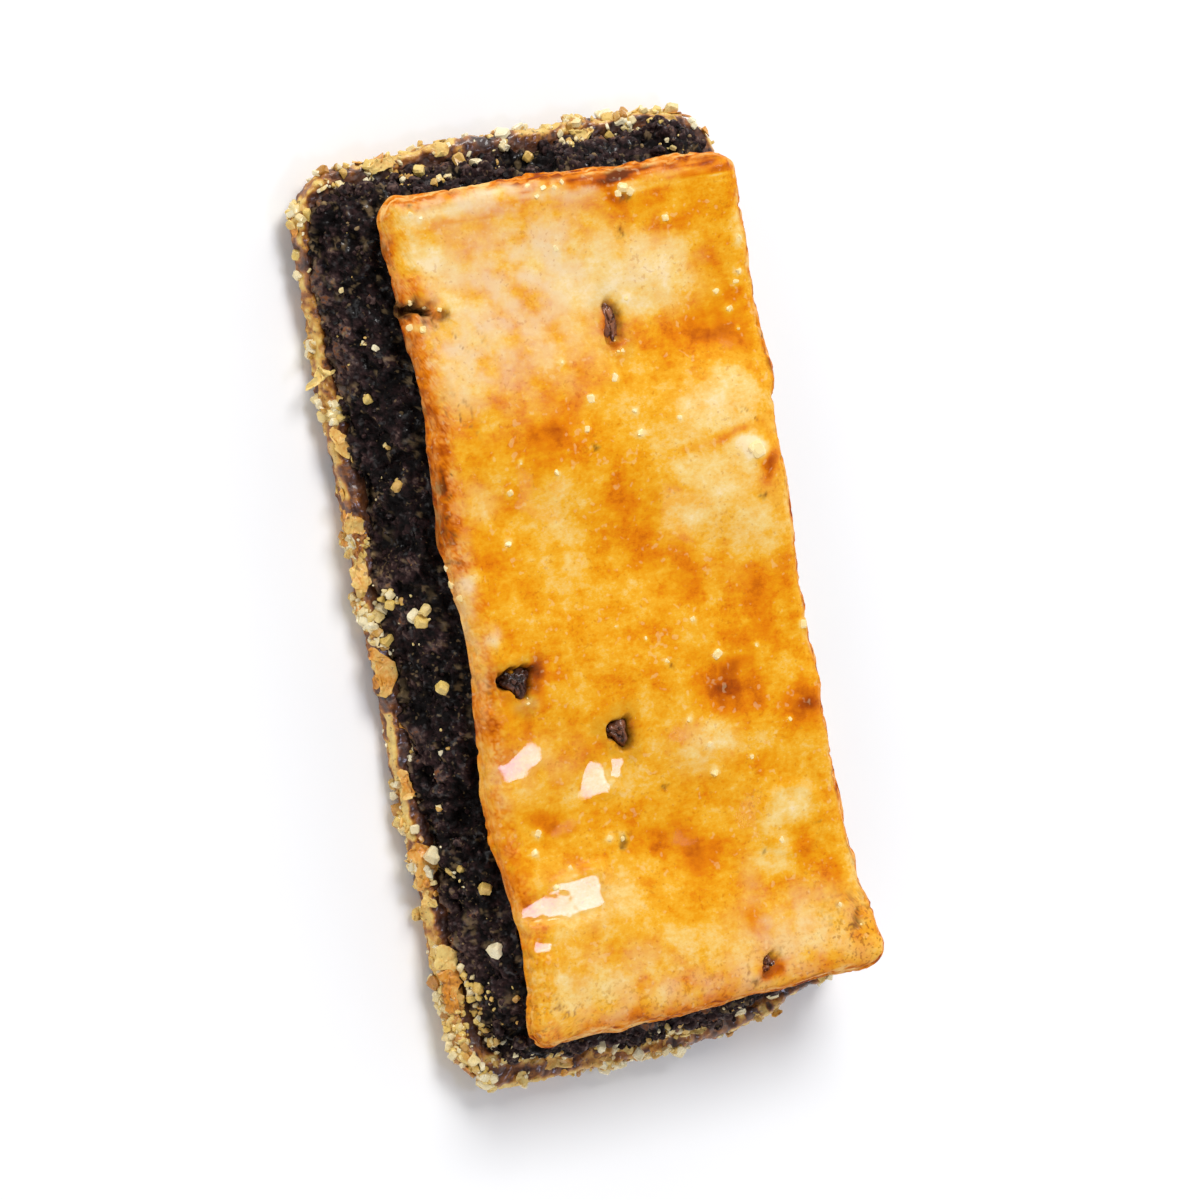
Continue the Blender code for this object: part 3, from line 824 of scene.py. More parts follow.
@dataclass(frozen=True)
class Glaze:
    """Egg-glazed pastry: pale cream on its blisters, gold between, brown where it baked most."""

    cream: Colour = srgb(240, 216, 166)
    pale: Colour = srgb(236, 198, 114)
    yellow: Colour = srgb(234, 170, 40)
    gold: Colour = srgb(228, 150, 10)
    amber: Colour = srgb(218, 120, 0)
    brown: Colour = srgb(172, 76, 0)
    # A pale colour for a painted reflection (sheen), which also lightens pale cream patches
    cream_and_sheen: Colour = srgb(230, 202, 164)
    dark: Colour = srgb(104, 46, 8)
    crust: Colour = srgb(238, 188, 112)
    cut: Colour = srgb(222, 146, 62)
    baked_cut: Colour = srgb(146, 60, 8)
    stain: Colour = srgb(44, 24, 16)
    bruise: Colour = srgb(104, 76, 38)
    crease: Colour = srgb(150, 96, 50)

    def build(self) -> bpy.types.Material:
        """Makes the material: tone on a ramp, then pale patches that are mostly a painted sheen, cut edge,
        specks, cracks and stains over it.
        """
        surface = Surface("glaze")
        board, place = surface.board, surface.place
        tone, edge, stain = map(board.attribute, ("tone", "edge", "stain"))
        brushed = board.mapped(place, scale=(0.45, 1.0, 1.0), rotation=(0.0, 0.0, 0.25))
        drawn_out = board.effect(Effect.MOTTLE, brushed, 1500.0, 0.30)
        mottle = board.math("ADD", surface.mottle(480.0, 0.48), drawn_out)
        uneven = board.math("ADD", tone, board.product(mottle, board.remap(tone, 0.56, 0.80, 1.0, 0.28)))
        uneven = board.math("ADD", uneven, surface.cloud(290.0, 6.0, 0.47, 0.54, -0.04, 0.04))
        places = (0.0, 0.2, 0.42, 0.56, 0.72, 0.88, 1.0)
        colours = (self.cream, self.pale, self.yellow, self.gold, self.amber, self.brown, self.dark)
        surface.colour = board.ramp(uneven, list(zip(places, colours)))
        # Painted reflection: a pale sheen laid over the colour where the glaze would mirror bright
        # surroundings, and over some pale cream patches
        surface.wash(self.cream_and_sheen, surface.cloud(420.0, 4.0, 0.36, 0.64, 0.1, 1.0), board.attribute("cream_and_sheen"))
        leaves = board.noise(board.mapped(place, scale=(0.6, 0.6, 2.6)), 900.0, 6.0)
        # The cut edge's colour from a laminated noise, shifted darker towards the edge's bottom
        baked = board.math("ADD", board.remap(leaves, 0.36, 0.64, 0.0, 1.0), board.attribute("cut_tone_shift"))
        stops = ((0.0, self.crust), (0.35, self.cut), (0.62, self.amber), (1.0, self.baked_cut))
        surface.wash(board.ramp(baked, stops), edge)
        surface.wash(self.brown, surface.flecks(2200.0, 0.34), 0.26)
        crumbs = board.effect(Effect.FLECKS, board.mapped(place, location=(0.03, 0.02, 0.0)), 1300.0, 0.36)
        surface.wash(self.cream, crumbs, 0.22)
        surface.wash(self.dark, surface.flecks(2400.0, 0.52), board.attribute("fleck"))
        surface.wash(self.crease, board.attribute("crack"))
        mixed = surface.cloud(1700.0, 3.0, 0.40, 0.62, 0.0, 1.0)
        surface.wash(board.blend(mixed, self.stain, self.bruise), stain)
        dull = board.product(board.math("MAXIMUM", edge, stain), 0.7)
        patches = surface.cloud(300.0, 3.0, 0.35, 0.6, 0.75, 1.0)
        shine = board.product(board.math("SUBTRACT", 1.0, dull), patches, board.attribute("gloss"))
        surface.set("Coat Weight", shine)
        surface.set("Coat Roughness", 0.07)
        surface.set("Specular IOR Level", 0.06)
        grain = board.effect(Effect.GRAIN, place, 1900.0, 0.3)
        height = board.product(grain, board.math("ADD", board.product(edge, 3.0), 1.0))
        rough = board.remap(surface.mottle(1500.0, 1.0), -0.5, 0.5, 0.36, 0.56)
        return surface.finish(rough, height, 0.35, 0.00010)


@dataclass(frozen=True)
class BakedPastry:
    """The base's bare pastry: amber, darker and caramelised at the rim, with a rough cut edge."""

    pale: Colour = srgb(228, 194, 104)
    light: Colour = srgb(206, 150, 60)
    amber: Colour = srgb(158, 94, 30)
    brown: Colour = srgb(98, 52, 20)
    caramel: Colour = srgb(52, 24, 14)

    def build(self) -> bpy.types.Material:
        """Makes the material: mottled amber, caramel by the seam and the rim, and dark specks."""
        surface = Surface("baked_pastry")
        colours = (self.pale, self.light, self.amber, self.brown, self.caramel)
        surface.bake("tone", 420.0, 0.7, *zip((0.0, 0.25, 0.5, 0.78, 1.0), colours))
        surface.wash(self.caramel, surface.flecks(2600.0, 0.42), 0.6)
        surface.set("Coat Weight", surface.board.product(surface.board.attribute("sticky"), 0.8))
        surface.set("Coat Roughness", 0.18)
        return surface.grained((700.0, 3.0, 0.35, 0.7), 1800.0, 0.8, 0.9, 0.00022)


@dataclass(frozen=True)
class CurrantPaste:
    """Minced currants baked together: near black, with reddish and tan crumbs in it."""

    black: Colour = srgb(9, 4, 4)
    plum: Colour = srgb(50, 32, 32)
    dust_and_sheen: Colour = srgb(96, 76, 70)
    russet: Colour = srgb(122, 76, 48)
    tan: Colour = srgb(156, 130, 92)

    def build(self) -> bpy.types.Material:
        """Makes the material: depth darkens it, as painted shade in gaps and under the lid and painted
        light on the lumps; single crumbs are russet or tan.
        """
        surface = Surface("currant_paste")
        colours = (self.black, self.plum, self.dust_and_sheen, self.russet)
        # The ramp runs from painted shade (black, in gaps and under the lid) to lit lumps (plum, a dusty
        # sheen), with russet bits
        surface.bake("depth", 700.0, 1.4, *zip((0.0, 0.52, 0.86, 1.0), colours))
        surface.wash(self.tan, surface.flecks(1700.0, 0.33), 0.38)
        surface.wash(self.tan, surface.board.attribute("tan"))
        surface.set("Specular IOR Level", 0.12)
        surface.set("Coat Weight", surface.cloud(1100.0, 4.0, 0.56, 0.66, 0.0, 0.7))
        surface.set("Coat Roughness", 0.2)
        return surface.grained((1900.0, 3.0, 0.5, 0.9), 1900.0, 0.9, 1.0, 0.00022)


@dataclass(frozen=True)
class CurrantSkin:
    """A dried currant's skin: dark purple brown, wrinkled and a little shiny, under a broken glaze."""

    dark: Colour = srgb(22, 12, 10)
    plum: Colour = srgb(72, 42, 34)
    bloom_and_sheen: Colour = srgb(130, 88, 66)
    glaze: Colour = srgb(160, 100, 66)

    def build(self) -> bpy.types.Material:
        """Makes the material: plum on the ridges, near black in the folds; the black in the folds is
        painted shade and the pale ridges a painted sheen.
        """
        surface = Surface("currant_skin")
        surface.bake("depth", 900.0, 0.4, (0.0, self.dark), (0.6, self.plum), (1.0, self.bloom_and_sheen))
        covered = surface.cloud(1300.0, 3.0, 0.36, 0.60, 0.1, 1.0)
        surface.wash(self.glaze, covered, surface.board.attribute("glazed"))
        surface.set("Coat Weight", surface.cloud(600.0, 2.0, 0.4, 0.6, 0.2, 0.8))
        surface.set("Coat Roughness", 0.15)
        surface.set("Specular IOR Level", 0.2)
        return surface.grained((1500.0, 2.0, 0.22, 0.5), 3000.0, 0.6, 0.5, 0.0001)


@dataclass(frozen=True)
class SugarGrain:
    """A grain of sugar, clear or stained by caramel."""

    name: str = "sugar_grain"
    clear: Colour = srgb(250, 238, 200)
    straw: Colour = srgb(238, 204, 112)
    toffee: Colour = srgb(196, 134, 58)
    transmission: float = 0.12

    def build(self) -> bpy.types.Material:
        """Makes the material: each grain's own tint, a slight mottle and a hard gloss."""
        surface = Surface(self.name)
        surface.bake("tint", 900.0, 0.35, (0.0, self.clear), (0.5, self.straw), (1.0, self.toffee))
        surface.set("Transmission Weight", self.transmission)
        surface.set("IOR", 1.5)
        return surface.grained((1800.0, 2.0, 0.12, 0.4), 2500.0, 0.2, 0.3, 0.0001)


@dataclass(frozen=True)
class FlakeCrust:
    """A brittle flake of caramelised sugar and pastry."""

    pale: Colour = srgb(240, 208, 124)
    tan: Colour = srgb(222, 148, 48)
    burnt: Colour = srgb(120, 62, 20)

    def build(self) -> bpy.types.Material:
        """Makes the material: pale to tan by flake, burnt in patches."""
        surface = Surface("flake_crust")
        surface.bake("tint", 560.0, 1.2, (0.0, self.pale), (0.55, self.tan), (1.0, self.burnt))
        surface.wash(self.burnt, surface.flecks(2200.0, 0.45), 0.6)
        return surface.grained((1200.0, 2.0, 0.25, 0.55), 2400.0, 0.5, 0.5, 0.00012)


@dataclass(frozen=True)
class Finishes:
    """Every finish of the biscuit, made once."""

    glaze: bpy.types.Material
    pastry: bpy.types.Material
    paste: bpy.types.Material
    skin: bpy.types.Material
    sugar: bpy.types.Material
    glazed_sugar: bpy.types.Material
    flake: bpy.types.Material

    @classmethod
    def build(cls) -> "Finishes":
        """Builds the shared effects, then each material."""
        build_effects()
        tints = (srgb(246, 224, 168), srgb(242, 208, 130), srgb(232, 178, 82))
        glazed = SugarGrain("glazed_sugar", *tints, transmission=0.0)
        makers = (Glaze(), BakedPastry(), CurrantPaste(), CurrantSkin(), SugarGrain(), glazed, FlakeCrust())
        return cls(*[maker.build() for maker in makers])


class Slot(Enum):
    """The record's material slots."""

    BASE = "base_pastry"
    FILLING = "currant_filling"
    LID = "glazed_lid"
    CURRANT = "currant"


def settle(piece: bpy.types.Object, replaced: str | None = None) -> None:
    """Rides a piece on the body, hides the CAD node it stands for, and reports it."""
    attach(piece, "root")
    if replaced:
        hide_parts(replaced)
    LOG.info("%s: %d points, %d faces", piece.name, len(piece.data.vertices), len(piece.data.polygons))


# The lid


@dataclass(frozen=True)
class CurrantPlace:
    """A currant that breaks through the lid: half sizes, turn in degrees, its hole and its glaze."""

    name: str
    x: float
    y: float
    half_length: float
    half_width: float
    half_height: float
    turn: float
    hole: float
    sunk: float
    halo: float
    three_cornered: float
    glazed: float


CURRANTS = (
    CurrantPlace("currant_left", -13.4, -6.4, 1.6, 1.55, 1.1, -22.0, 1.02, 0.40, 0.9, 0.24, 0.08),
    CurrantPlace("currant_middle", -2.9, -13.6, 1.5, 1.2, 1.0, 110.0, 1.10, 0.66, 0.8, 0.20, 0.62),
    CurrantPlace("currant_back", 4.4, 27.5, 2.6, 1.1, 1.0, 94.0, 0.95, 0.52, 0.42, 0.0, 0.74),
    CurrantPlace("currant_front", 8.9, -40.8, 1.1, 0.9, 0.9, 40.0, 0.85, 0.52, 0.4, 0.20, 0.80),
)

# Patches of the glaze: x, y, half width, half length, turn in degrees, and how much browner
SPOTS = (
    (9.6, 31.9, 6.0, 4.0, 8, -0.44), (15.0, 17.2, 5.0, 3.4, 0, -0.31), (12.8, 8.6, 5.0, 4.6, 30, -0.26),
    (15.2, 3.6, 3.6, 3.0, 0, -0.22), (11.6, 10.2, 2.6, 1.6, -35, -0.08), (-16.0, 38.0, 3.2, 2.4, 0, -0.26),
    (-13.6, 36.6, 3.0, 3.4, 0, -0.22), (-15.2, 41.6, 2.8, 1.4, 0, -0.18), (-1.8, 36.8, 5.0, 2.4, 10, -0.2),
    (1.4, 32.8, 3.0, 3.2, 0, -0.26), (-12.4, 31.2, 4.0, 2.6, 20, -0.2), (-13.2, 26.4, 4.2, 3.6, 0, -0.22),
    (-4.7, 9.7, 2.8, 3.8, 15, -0.12), (-6.6, 5.2, 4.0, 1.0, 0, -0.1), (-14.3, 12.7, 2.4, 1.8, 0, -0.2),
    (6.6, -17.0, 3.4, 2.0, 15, -0.26), (14.4, -25.2, 3.2, 2.0, 0, -0.28), (11.2, -29.6, 2.2, 1.8, 0, -0.18),
    (-12.0, -38.6, 5.0, 2.4, 0, -0.24), (13.2, -37.8, 4.6, 2.6, 0, -0.22), (2.0, -37.6, 5.0, 2.2, 0, -0.14),
    (-9.0, -30.6, 6.0, 3.0, 0, -0.14), (-5.0, -19.0, 4.0, 2.4, 0, -0.1), (-8.4, -8.2, 4.0, 1.0, 8, -0.12),
    (17.4, 11.8, 1.5, 1.2, -20, -0.7), (4.4, 27.6, 1.2, 2.9, 0, 0.42), (8.9, -40.8, 1.3, 1.3, 0, 0.4),
    (-11.9, -6.2, 1.3, 2.0, 0, 0.36), (-15.6, 31.8, 1.8, 1.5, -20, 0.3), (7.8, 41.3, 2.0, 1.4, 0, 0.46),
    (20.0, -37.8, 1.4, 0.9, 0, 0.24), (18.8, 10.2, 1.4, 2.4, -30, 0.42), (16.2, 13.7, 2.6, 0.8, 10, 0.34),
    (12.6, 13.6, 4.4, 1.0, 8, 0.14), (16.0, 32.2, 2.0, 1.8, 0, 0.24), (15.4, 36.9, 2.4, 1.6, 0, 0.1),
    (16.8, 24.8, 3.4, 2.4, -15, 0.28), (10.2, 23.6, 4.0, 2.0, 0, 0.14), (-5.6, 17.2, 3.4, 2.6, 0, 0.22),
    (-8.6, 38.0, 2.0, 1.6, 0, 0.22), (-9.6, 34.6, 2.4, 2.0, 0, 0.1), (-2.0, 28.4, 2.4, 2.4, 0, 0.08),
    (-12.0, 20.0, 4.4, 2.0, 0, 0.08), (-12.6, 4.4, 4.6, 3.0, 0, 0.1), (2.4, 9.6, 3.0, 3.0, 0, 0.08),
    (4.6, 4.0, 3.6, 2.4, 0, 0.16), (17.6, -0.8, 3.0, 3.4, 0, 0.12), (8.4, -1.4, 1.6, 3.4, 0, 0.14),
    (14.6, -6.4, 4.0, 3.0, 0, 0.18), (9.6, -12.4, 3.5, 3.1, 0, 0.43), (17.6, -14.4, 3.6, 2.6, 0, 0.37),
    (11.4, -9.8, 2.6, 1.6, 0, 0.16), (-12.8, -20.9, 2.9, 1.9, -15, 0.32), (-10.0, -25.0, 3.0, 2.2, 0, 0.12),
    (0.6, -24.9, 3.0, 2.0, 0, 0.22), (3.6, -28.2, 2.6, 2.8, -20, 0.3), (-1.2, -26.9, 1.3, 1.2, 0, 0.26),
    (16.0, -28.5, 2.4, 1.7, 15, 0.1), (18.9, -22.8, 1.8, 2.6, 0, 0.18), (12.8, -20.6, 3.4, 1.4, 0, 0.1),
    (8.6, -35.6, 1.2, 3.6, 6, 0.22), (19.2, -32.6, 1.6, 2.0, 0, 0.22), (-9.4, -35.4, 3.0, 1.8, 0, 0.1),
    (-5.6, -39.2, 1.4, 1.0, 0, 0.16), (-5.0, -8.0, 4.0, 3.0, 0, -0.08), (-15.5, -1.2, 0.9, 1.2, 0, -0.26),
    (-17.4, 4.3, 1.0, 0.8, 0, -0.3), (-18.0, 0.2, 1.4, 4.4, 0, -0.22), (-16.8, -36.5, 2.0, 4.5, 0, -0.16),
    (-12.0, 43.2, 7.5, 1.1, 0, -0.34), (-18.9, 22.7, 1.0, 1.3, 0, 0.4),
)

# Patches that mirror the window: x, y, half width, half length, turn in degrees, and narrowing
MIRRORED = (
    (-14.4, -14.6, 3.1, 1.5, 22, 0.0), (-6.7, -17.8, 1.9, 2.2, 0, 0.65), (-4.0, -17.3, 0.8, 1.3, -10, 0.0),
    (-10.9, -29.2, 3.5, 2.5, 10, -0.3), (-14.9, -29.7, 3.3, 1.5, -6, 0.15),
    (-16.1, -33.4, 1.4, 1.0, -14, 0.0),
)

# Pale patches, mostly a painted reflection that lays a soft sheen of the bright surroundings, partly the
# glaze's own cream: x, y, half width, half length, share
CREAM_AND_SHEEN = (
    (-7.0, 31.5, 11.0, 9.0, 0.66), (-1.5, 36.5, 6.0, 4.5, 0.36), (-13.5, 26.5, 4.5, 5.0, 0.42),
    (9.6, 32.0, 5.5, 4.2, 0.4), (14.5, 10.0, 6.0, 9.0, 0.12), (-12.5, -15.5, 5.0, 3.0, 0.16),
    (-11.5, -30.0, 6.5, 3.4, 0.16), (5.5, -17.0, 4.0, 2.5, 0.28), (-8.0, -37.5, 8.0, 2.6, 0.24),
    (13.0, -37.3, 8.0, 3.4, 0.4), (-14.5, 12.5, 2.4, 2.0, 0.25), (9.0, -34.0, 1.5, 4.5, 0.18),
    (14.0, 18.0, 4.0, 3.0, 0.1), (2.0, -41.6, 18.0, 2.4, 0.42), (-4.0, 42.6, 18.0, 2.0, 0.75),
    (-17.6, 3.0, 1.4, 26.0, 0.42), (-15.5, -1.2, 0.9, 1.1, 0.7), (-17.4, 4.3, 1.0, 0.8, 0.8),
    (-13.0, -9.0, 1.2, 0.7, 0.5),
)

# Grains of sugar under the glaze: x, y, size
GLAZED_GRAINS = (
    (8.1, 41.2, 1.1), (8.9, 40.5, 0.8), (7.5, 40.4, 0.7), (12.5, 37.3, 0.75), (20.3, 33.7, 0.75),
    (19.8, 30.3, 0.5), (19.2, 29.3, 0.55), (17.0, 28.7, 0.55), (18.0, 26.8, 0.6), (18.6, 24.6, 0.35),
    (6.5, 29.8, 0.6), (3.2, 22.0, 0.75), (0.0, 20.5, 0.85), (-2.3, 24.7, 0.45), (-1.2, 17.5, 0.5),
    (4.8, 16.0, 0.75), (9.5, 16.7, 0.4), (4.7, 18.3, 0.45), (-9.0, 15.5, 0.35), (-10.7, 12.7, 0.6),
    (-5.3, 13.7, 0.5), (-0.2, 36.2, 0.5), (-11.7, 7.7, 0.7), (-13.7, -22.2, 0.75), (-14.5, -24.0, 0.75),
    (-6.2, -24.2, 0.75), (-4.5, -24.5, 0.55), (-11.2, -26.3, 0.5), (-13.2, -27.7, 0.75), (9.2, -8.0, 0.95),
    (3.3, -7.7, 0.5), (4.8, -14.0, 0.5), (16.2, -16.3, 0.5), (11.2, -19.3, 0.4), (6.8, -20.0, 0.7),
    (6.5, -17.0, 0.45), (19.8, -7.0, 0.8), (7.3, -4.0, 0.45), (14.0, -8.0, 0.35), (1.5, -4.8, 0.4),
    (-1.5, -3.0, 0.3), (17.4, 11.9, 1.6), (16.6, 12.3, 0.8), (-12.5, -8.3, 0.45), (-12.9, -8.7, 0.3),
    (4.8, 24.7, 0.45), (4.3, 24.5, 0.3), (4.7, 25.8, 0.35), (18.2, -36.6, 0.5), (20.3, -39.0, 0.4),
    (13.2, -28.6, 0.5), (-16.0, 32.4, 0.6), (-17.3, 33.4, 0.5), (-14.4, 32.3, 0.5), (-17.7, 31.0, 0.7),
    (-16.7, 30.6, 0.6), (-18.4, 4.8, 0.7), (-18.7, 6.4, 0.6), (-18.0, 3.1, 0.6), (-0.8, 42.6, 0.6),
    (-2.2, 42.9, 0.5), (0.6, 42.3, 0.5), (-1.5, 41.8, 0.45), (1.6, 42.8, 0.4), (-15.6, 42.2, 0.5),
    (-14.6, 41.6, 0.4),
)

# Dark dots, each a small pit with a stain: x, y, radius
DARK_DOTS = (
    (-0.6, 15.3, 0.22), (17.4, 7.1, 0.25), (7.0, 36.6, 0.3), (21.2, 23.7, 0.3), (-4.5, -25.1, 0.5),
    (-4.1, -24.9, 0.4), (3.7, -7.9, 0.3), (19.9, -38.6, 0.5), (1.1, -20.4, 0.3), (11.0, -29.4, 0.3),
    (-3.2, -15.2, 0.5), (-15.8, 43.0, 0.3), (-16.6, 33.4, 0.7), (-15.4, 32.9, 0.6), (-14.1, 31.5, 0.6),
    (-15.2, 31.3, 0.5), (-16.3, 31.6, 0.5), (-2.0, -15.2, 0.4), (9.8, -40.0, 0.4), (7.6, -41.8, 0.35),
    (6.8, -42.4, 0.3), (8.2, 40.0, 0.5), (20.2, -37.8, 0.35), (-17.4, 6.9, 0.4), (-17.3, 13.6, 0.26),
    (-17.5, 9.5, 0.3), (-17.8, 8.6, 0.24), (-18.2, 7.2, 0.3), (-17.0, 15.6, 0.2), (-17.7, 11.4, 0.2),
    (17.5, -27.7, 0.26),
)

# Places with fine cracks: x, y, half width, half length
CRACKED = (
    (-15.0, 21.0, 2.0, 2.2), (18.2, 15.6, 2.4, 0.9), (19.5, -38.5, 3.0, 2.6), (-13.0, 28.6, 2.4, 1.0),
    (7.5, -41.0, 2.6, 1.6), (-15.5, -40.5, 3.0, 2.0), (-17.2, -6.4, 2.6, 0.8),
)


def warped(points: Array, reach: float, cell: float, seed: int) -> tuple[Array, Array]:
    """Each place's x and y, moved by noises of their own, so that round patches turn ragged."""
    flat = points * (1, 1, 0)
    return tuple(points[:, axis] + reach * fractal(flat, cell, seed + 7 * axis) for axis in (0, 1))


def dots(x: Array, y: Array, rows: Sequence[Row], wide: float, least: float) -> Iterator[tuple]:
    """Bells round listed dots.

    Args:
        x: Places across.
        y: Places along.
        rows: The dots, each with its place and size.
        wide: The bell's width as a share of the dot's size.
        least: What is added to that width.

    Yields:
        Each dot's size and its bell.
    """
    for a, b, size in rows:
        yield size, bell(np.hypot(x - a, y - b), wide * size + least)


@dataclass(frozen=True)
class Zones:
    """The lid's bare skin and the parts of it that shapes and colours share.

    Attributes:
        points: The skin's points before any wrinkle.
        inset: How far in from the rim each point is.
        rise: Its share of the lid's height.
        on_left: Whether it lies on the left.
        wall: How near the cut edge it is.
        strip: How far it is inside the pitted strip along the left edge.
        back: How far it is inside the streaked strip along the back edge.
        streaks: A noise drawn out across the lid.
        cracks: How deep in a crack it is.
    """

    points: Array
    inset: Array
    rise: Array
    on_left: Array
    wall: Array
    strip: Array
    back: Array
    streaks: Array
    cracks: Array

    @classmethod
    def read(cls, skin: Shell) -> "Zones":
        """Works them out from a skin that still has its inset and its share of the height."""
        points, inset = skin.points, skin.values["inset"]
        flat = points * (1, 1, 0)
        x, y = points[:, 0], points[:, 1]
        near = sum(bell(x - a, wide) * bell(y - b, long) for a, b, wide, long in CRACKED)
        return cls(
            points=points,
            inset=inset,
            rise=skin.values["rise"],
            on_left=x < -8,
            wall=1 - ease(inset, 0.0, 1.4),
            strip=(1 - ease(inset + 0.5 * soft_noise(flat, 2.0, 20), 2.0, 2.9)) * (x < -14),
            back=ease(y + soft_noise(flat, 5.0, 25), 39.8, 41.6),
            streaks=fractal(flat * (0.12, 1, 0), 0.7, 45),
            cracks=np.clip(near, 0, 1) * (1 - ease(np.abs(fractal(flat, 2.4, 81, 4)), 0.0, 0.09)),
        )


@dataclass(frozen=True)
class Lid:
    """The glazed sheet, the sugar under its glaze and the currants that break through it."""

    form: BiscuitForm
    finishes: Finishes
    split_start: tuple[float, float] = (-20.6, 32.9)
    split_end: tuple[float, float] = (-16.2, 32.2)
    split_half_width: float = 0.62
    corner: float = 2.4
    roll_width: float = 2.4
    roll_drop: float = 1.2
    seed: int = 41

    def layer(self) -> Layer:
        """The lid's layer, as the source places it."""
        half = (self.form.lid_width / 2, self.form.lid_length / 2)
        return Layer(
            foot=half,
            head=half,
            foot_offset=self.form.lid_offset,
            head_offset=self.form.lid_offset,
            corner=self.corner,
            bulge=0.25,
            roll_width=self.roll_width,
            upper_drop=self.roll_drop,
            lower_drop=0.5,
            floor=self.form.lid_floor,
            roof=self.form.lid_roof,
            uneven=self.form.uneven_lid,
            crumb=pastry_crumb,
        )

    def hole(self, points: Array, currant: CurrantPlace, grow: float) -> Array:
        """How deep in a currant's ragged hole each place is: 1 within, falling to 0 across its lip."""
        across, along = turned(*warped(points, 0.42, 1.2, 61), (currant.x, currant.y), currant.turn)
        across, along = across / currant.half_length, along / currant.half_width
        away = np.sqrt(across**2 + along**2)
        away *= 1 + currant.three_cornered * np.cos(3 * np.arctan2(along, across))
        return 1 - ease(away, 0.70 * currant.hole * grow, 1.20 * currant.hole * grow)

    def split(self, points: Array, grow: float) -> Array:
        """How deep in the split each place is: 1 near its middle line, which narrows to its inner end."""
        start, end = np.array(self.split_start), np.array(self.split_end)
        line = end - start
        offset = np.stack(warped(points, 0.55, 1.3, 71), axis=1) - start
        t = np.clip(offset @ line / (line @ line), 0, 1)
        away = np.linalg.norm(offset - t[:, None] * line, axis=1)
        return 1 - ease(away / (self.split_half_width * grow * (1.15 - 0.35 * t)), 0.55, 1.1)

    def mirrored(self, points: Array, patch: Row) -> Array:
        """How far inside a mirrored patch each place is: a bell so steep that it is nearly a tile."""
        x, y, half_width, half_length, degrees, taper = patch
        across, along = turned(*warped(points, 0.24, 0.9, 201), (x, y), degrees)
        along = along / half_length
        across = across / half_width / (1 - taper * np.clip(along, -1, 1))
        return np.exp(-((np.abs(across) ** 4 + np.abs(along) ** 4) ** 2))

    def level(self, shell: Shell) -> None:
        """Flattens the glaze where it mirrors the window.

        A patch becomes part of a plane square to the direction halfway between the camera's and the
        window's, and blends into the face round it by a steep bell. A patch that laps over an earlier
        one carries on its plane.

        Args:
            shell: The sheet's skin, whose points are moved.
        """
        points = shell.points
        levelled = np.zeros(len(points))
        for patch in MIRRORED:
            share = self.mirrored(points, patch) * (shell.values["rise"] == 1)
            shared = share * levelled
            middle = np.average(points, axis=0, weights=shared if shared.max() > 0.5 else share)
            levelled = np.maximum(levelled, share)
            halfway = unit(np.array([CAMERA, WINDOW]) / MM - middle).sum(axis=0)
            offset = points - middle
            plane = middle[2] - (halfway[0] * offset[:, 0] + halfway[1] * offset[:, 1]) / halfway[2]
            points[:, 2] += (plane - points[:, 2]) * share

    def wrinkles(self, zones: Zones) -> Array:
        """How far the sheet stands out: slight waves, a leafy cut edge, pits, streaks, grains and folds.

        Args:
            zones: The lid's bare skin.

        Returns:
            How far each point moves along its outward direction.
        """
        points, inset, rise, wall, strip = zones.points, zones.inset, zones.rise, zones.wall, zones.strip
        flat = points * (1, 1, 0)
        x, y = points[:, 0], points[:, 1]
        top = rise * ease(inset, 0.0, 1.6)
        amount = 0.012 * fractal(flat, 3.2, 11) * top + 0.006 * soft_noise(points, 0.7, 15)
        laminated = soft_noise(points * (0.35, 0.35, 2.6), 1.0, 17)
        amount += wall * (0.10 * laminated + 0.08 * fractal(points, 0.8, 19)) * (1 - 0.65 * zones.on_left)
        wavy = 0.20 * soft_noise(flat, 4.6, 27) + 0.10 * soft_noise(points, 1.5, 28)
        amount += wall * wavy * zones.on_left
        amount -= 0.45 * np.maximum(0, soft_noise(points, 0.7, 21) - 0.3) * np.maximum(wall, 0.6 * strip)
        amount += 0.035 * strip * fractal(points, 0.9, 22)
        ridge = bell(inset - 2.7 - 0.4 * soft_noise(flat, 6.0, 23), 0.4) * (x < -12)
        ridge *= 1 + 2 * soft_noise(flat, 1.5, 24)
        fold = bell(x - 8.7 + 0.15 * (y + 36), 0.7) * np.exp(-(((y + 35.5) / 4.0) ** 4))
        blister = bell(np.hypot(x - 14.8, y + 26.6) - 3.4, 0.6)
        face = 0.04 * zones.back * zones.streaks - 0.12 * zones.cracks
        face += 0.05 * ridge - 0.10 * fold + 0.12 * blister
        for size, near in dots(x, y, GLAZED_GRAINS, 0.75, 0.12):
            face += 0.20 * size * near
        for size, near in dots(*warped(points, 0.45, 0.8, 221), DARK_DOTS, 1.0, 0.0):
            face -= 0.35 * size * near
        return amount + face * rise

    def sink(self, shell: Shell, zones: Zones) -> None:
        """Sinks the split and the currants' holes towards the sheet's underside.

        Args:
            shell: The wrinkled sheet, whose points are moved.
            zones: Its bare skin.
        """
        sunk = 0.94 * self.split(zones.points, 1.0)
        for currant in CURRANTS:
            sunk = np.maximum(sunk, 0.85 * currant.halo * self.hole(zones.points, currant, 1.0))
        low = self.form.lid_floor(zones.points[:, 0], zones.points[:, 1])
        z = shell.points[:, 2]
        shell.points[:, 2] = np.where(zones.rise > 0, low + (z - low) * (1 - sunk), z)

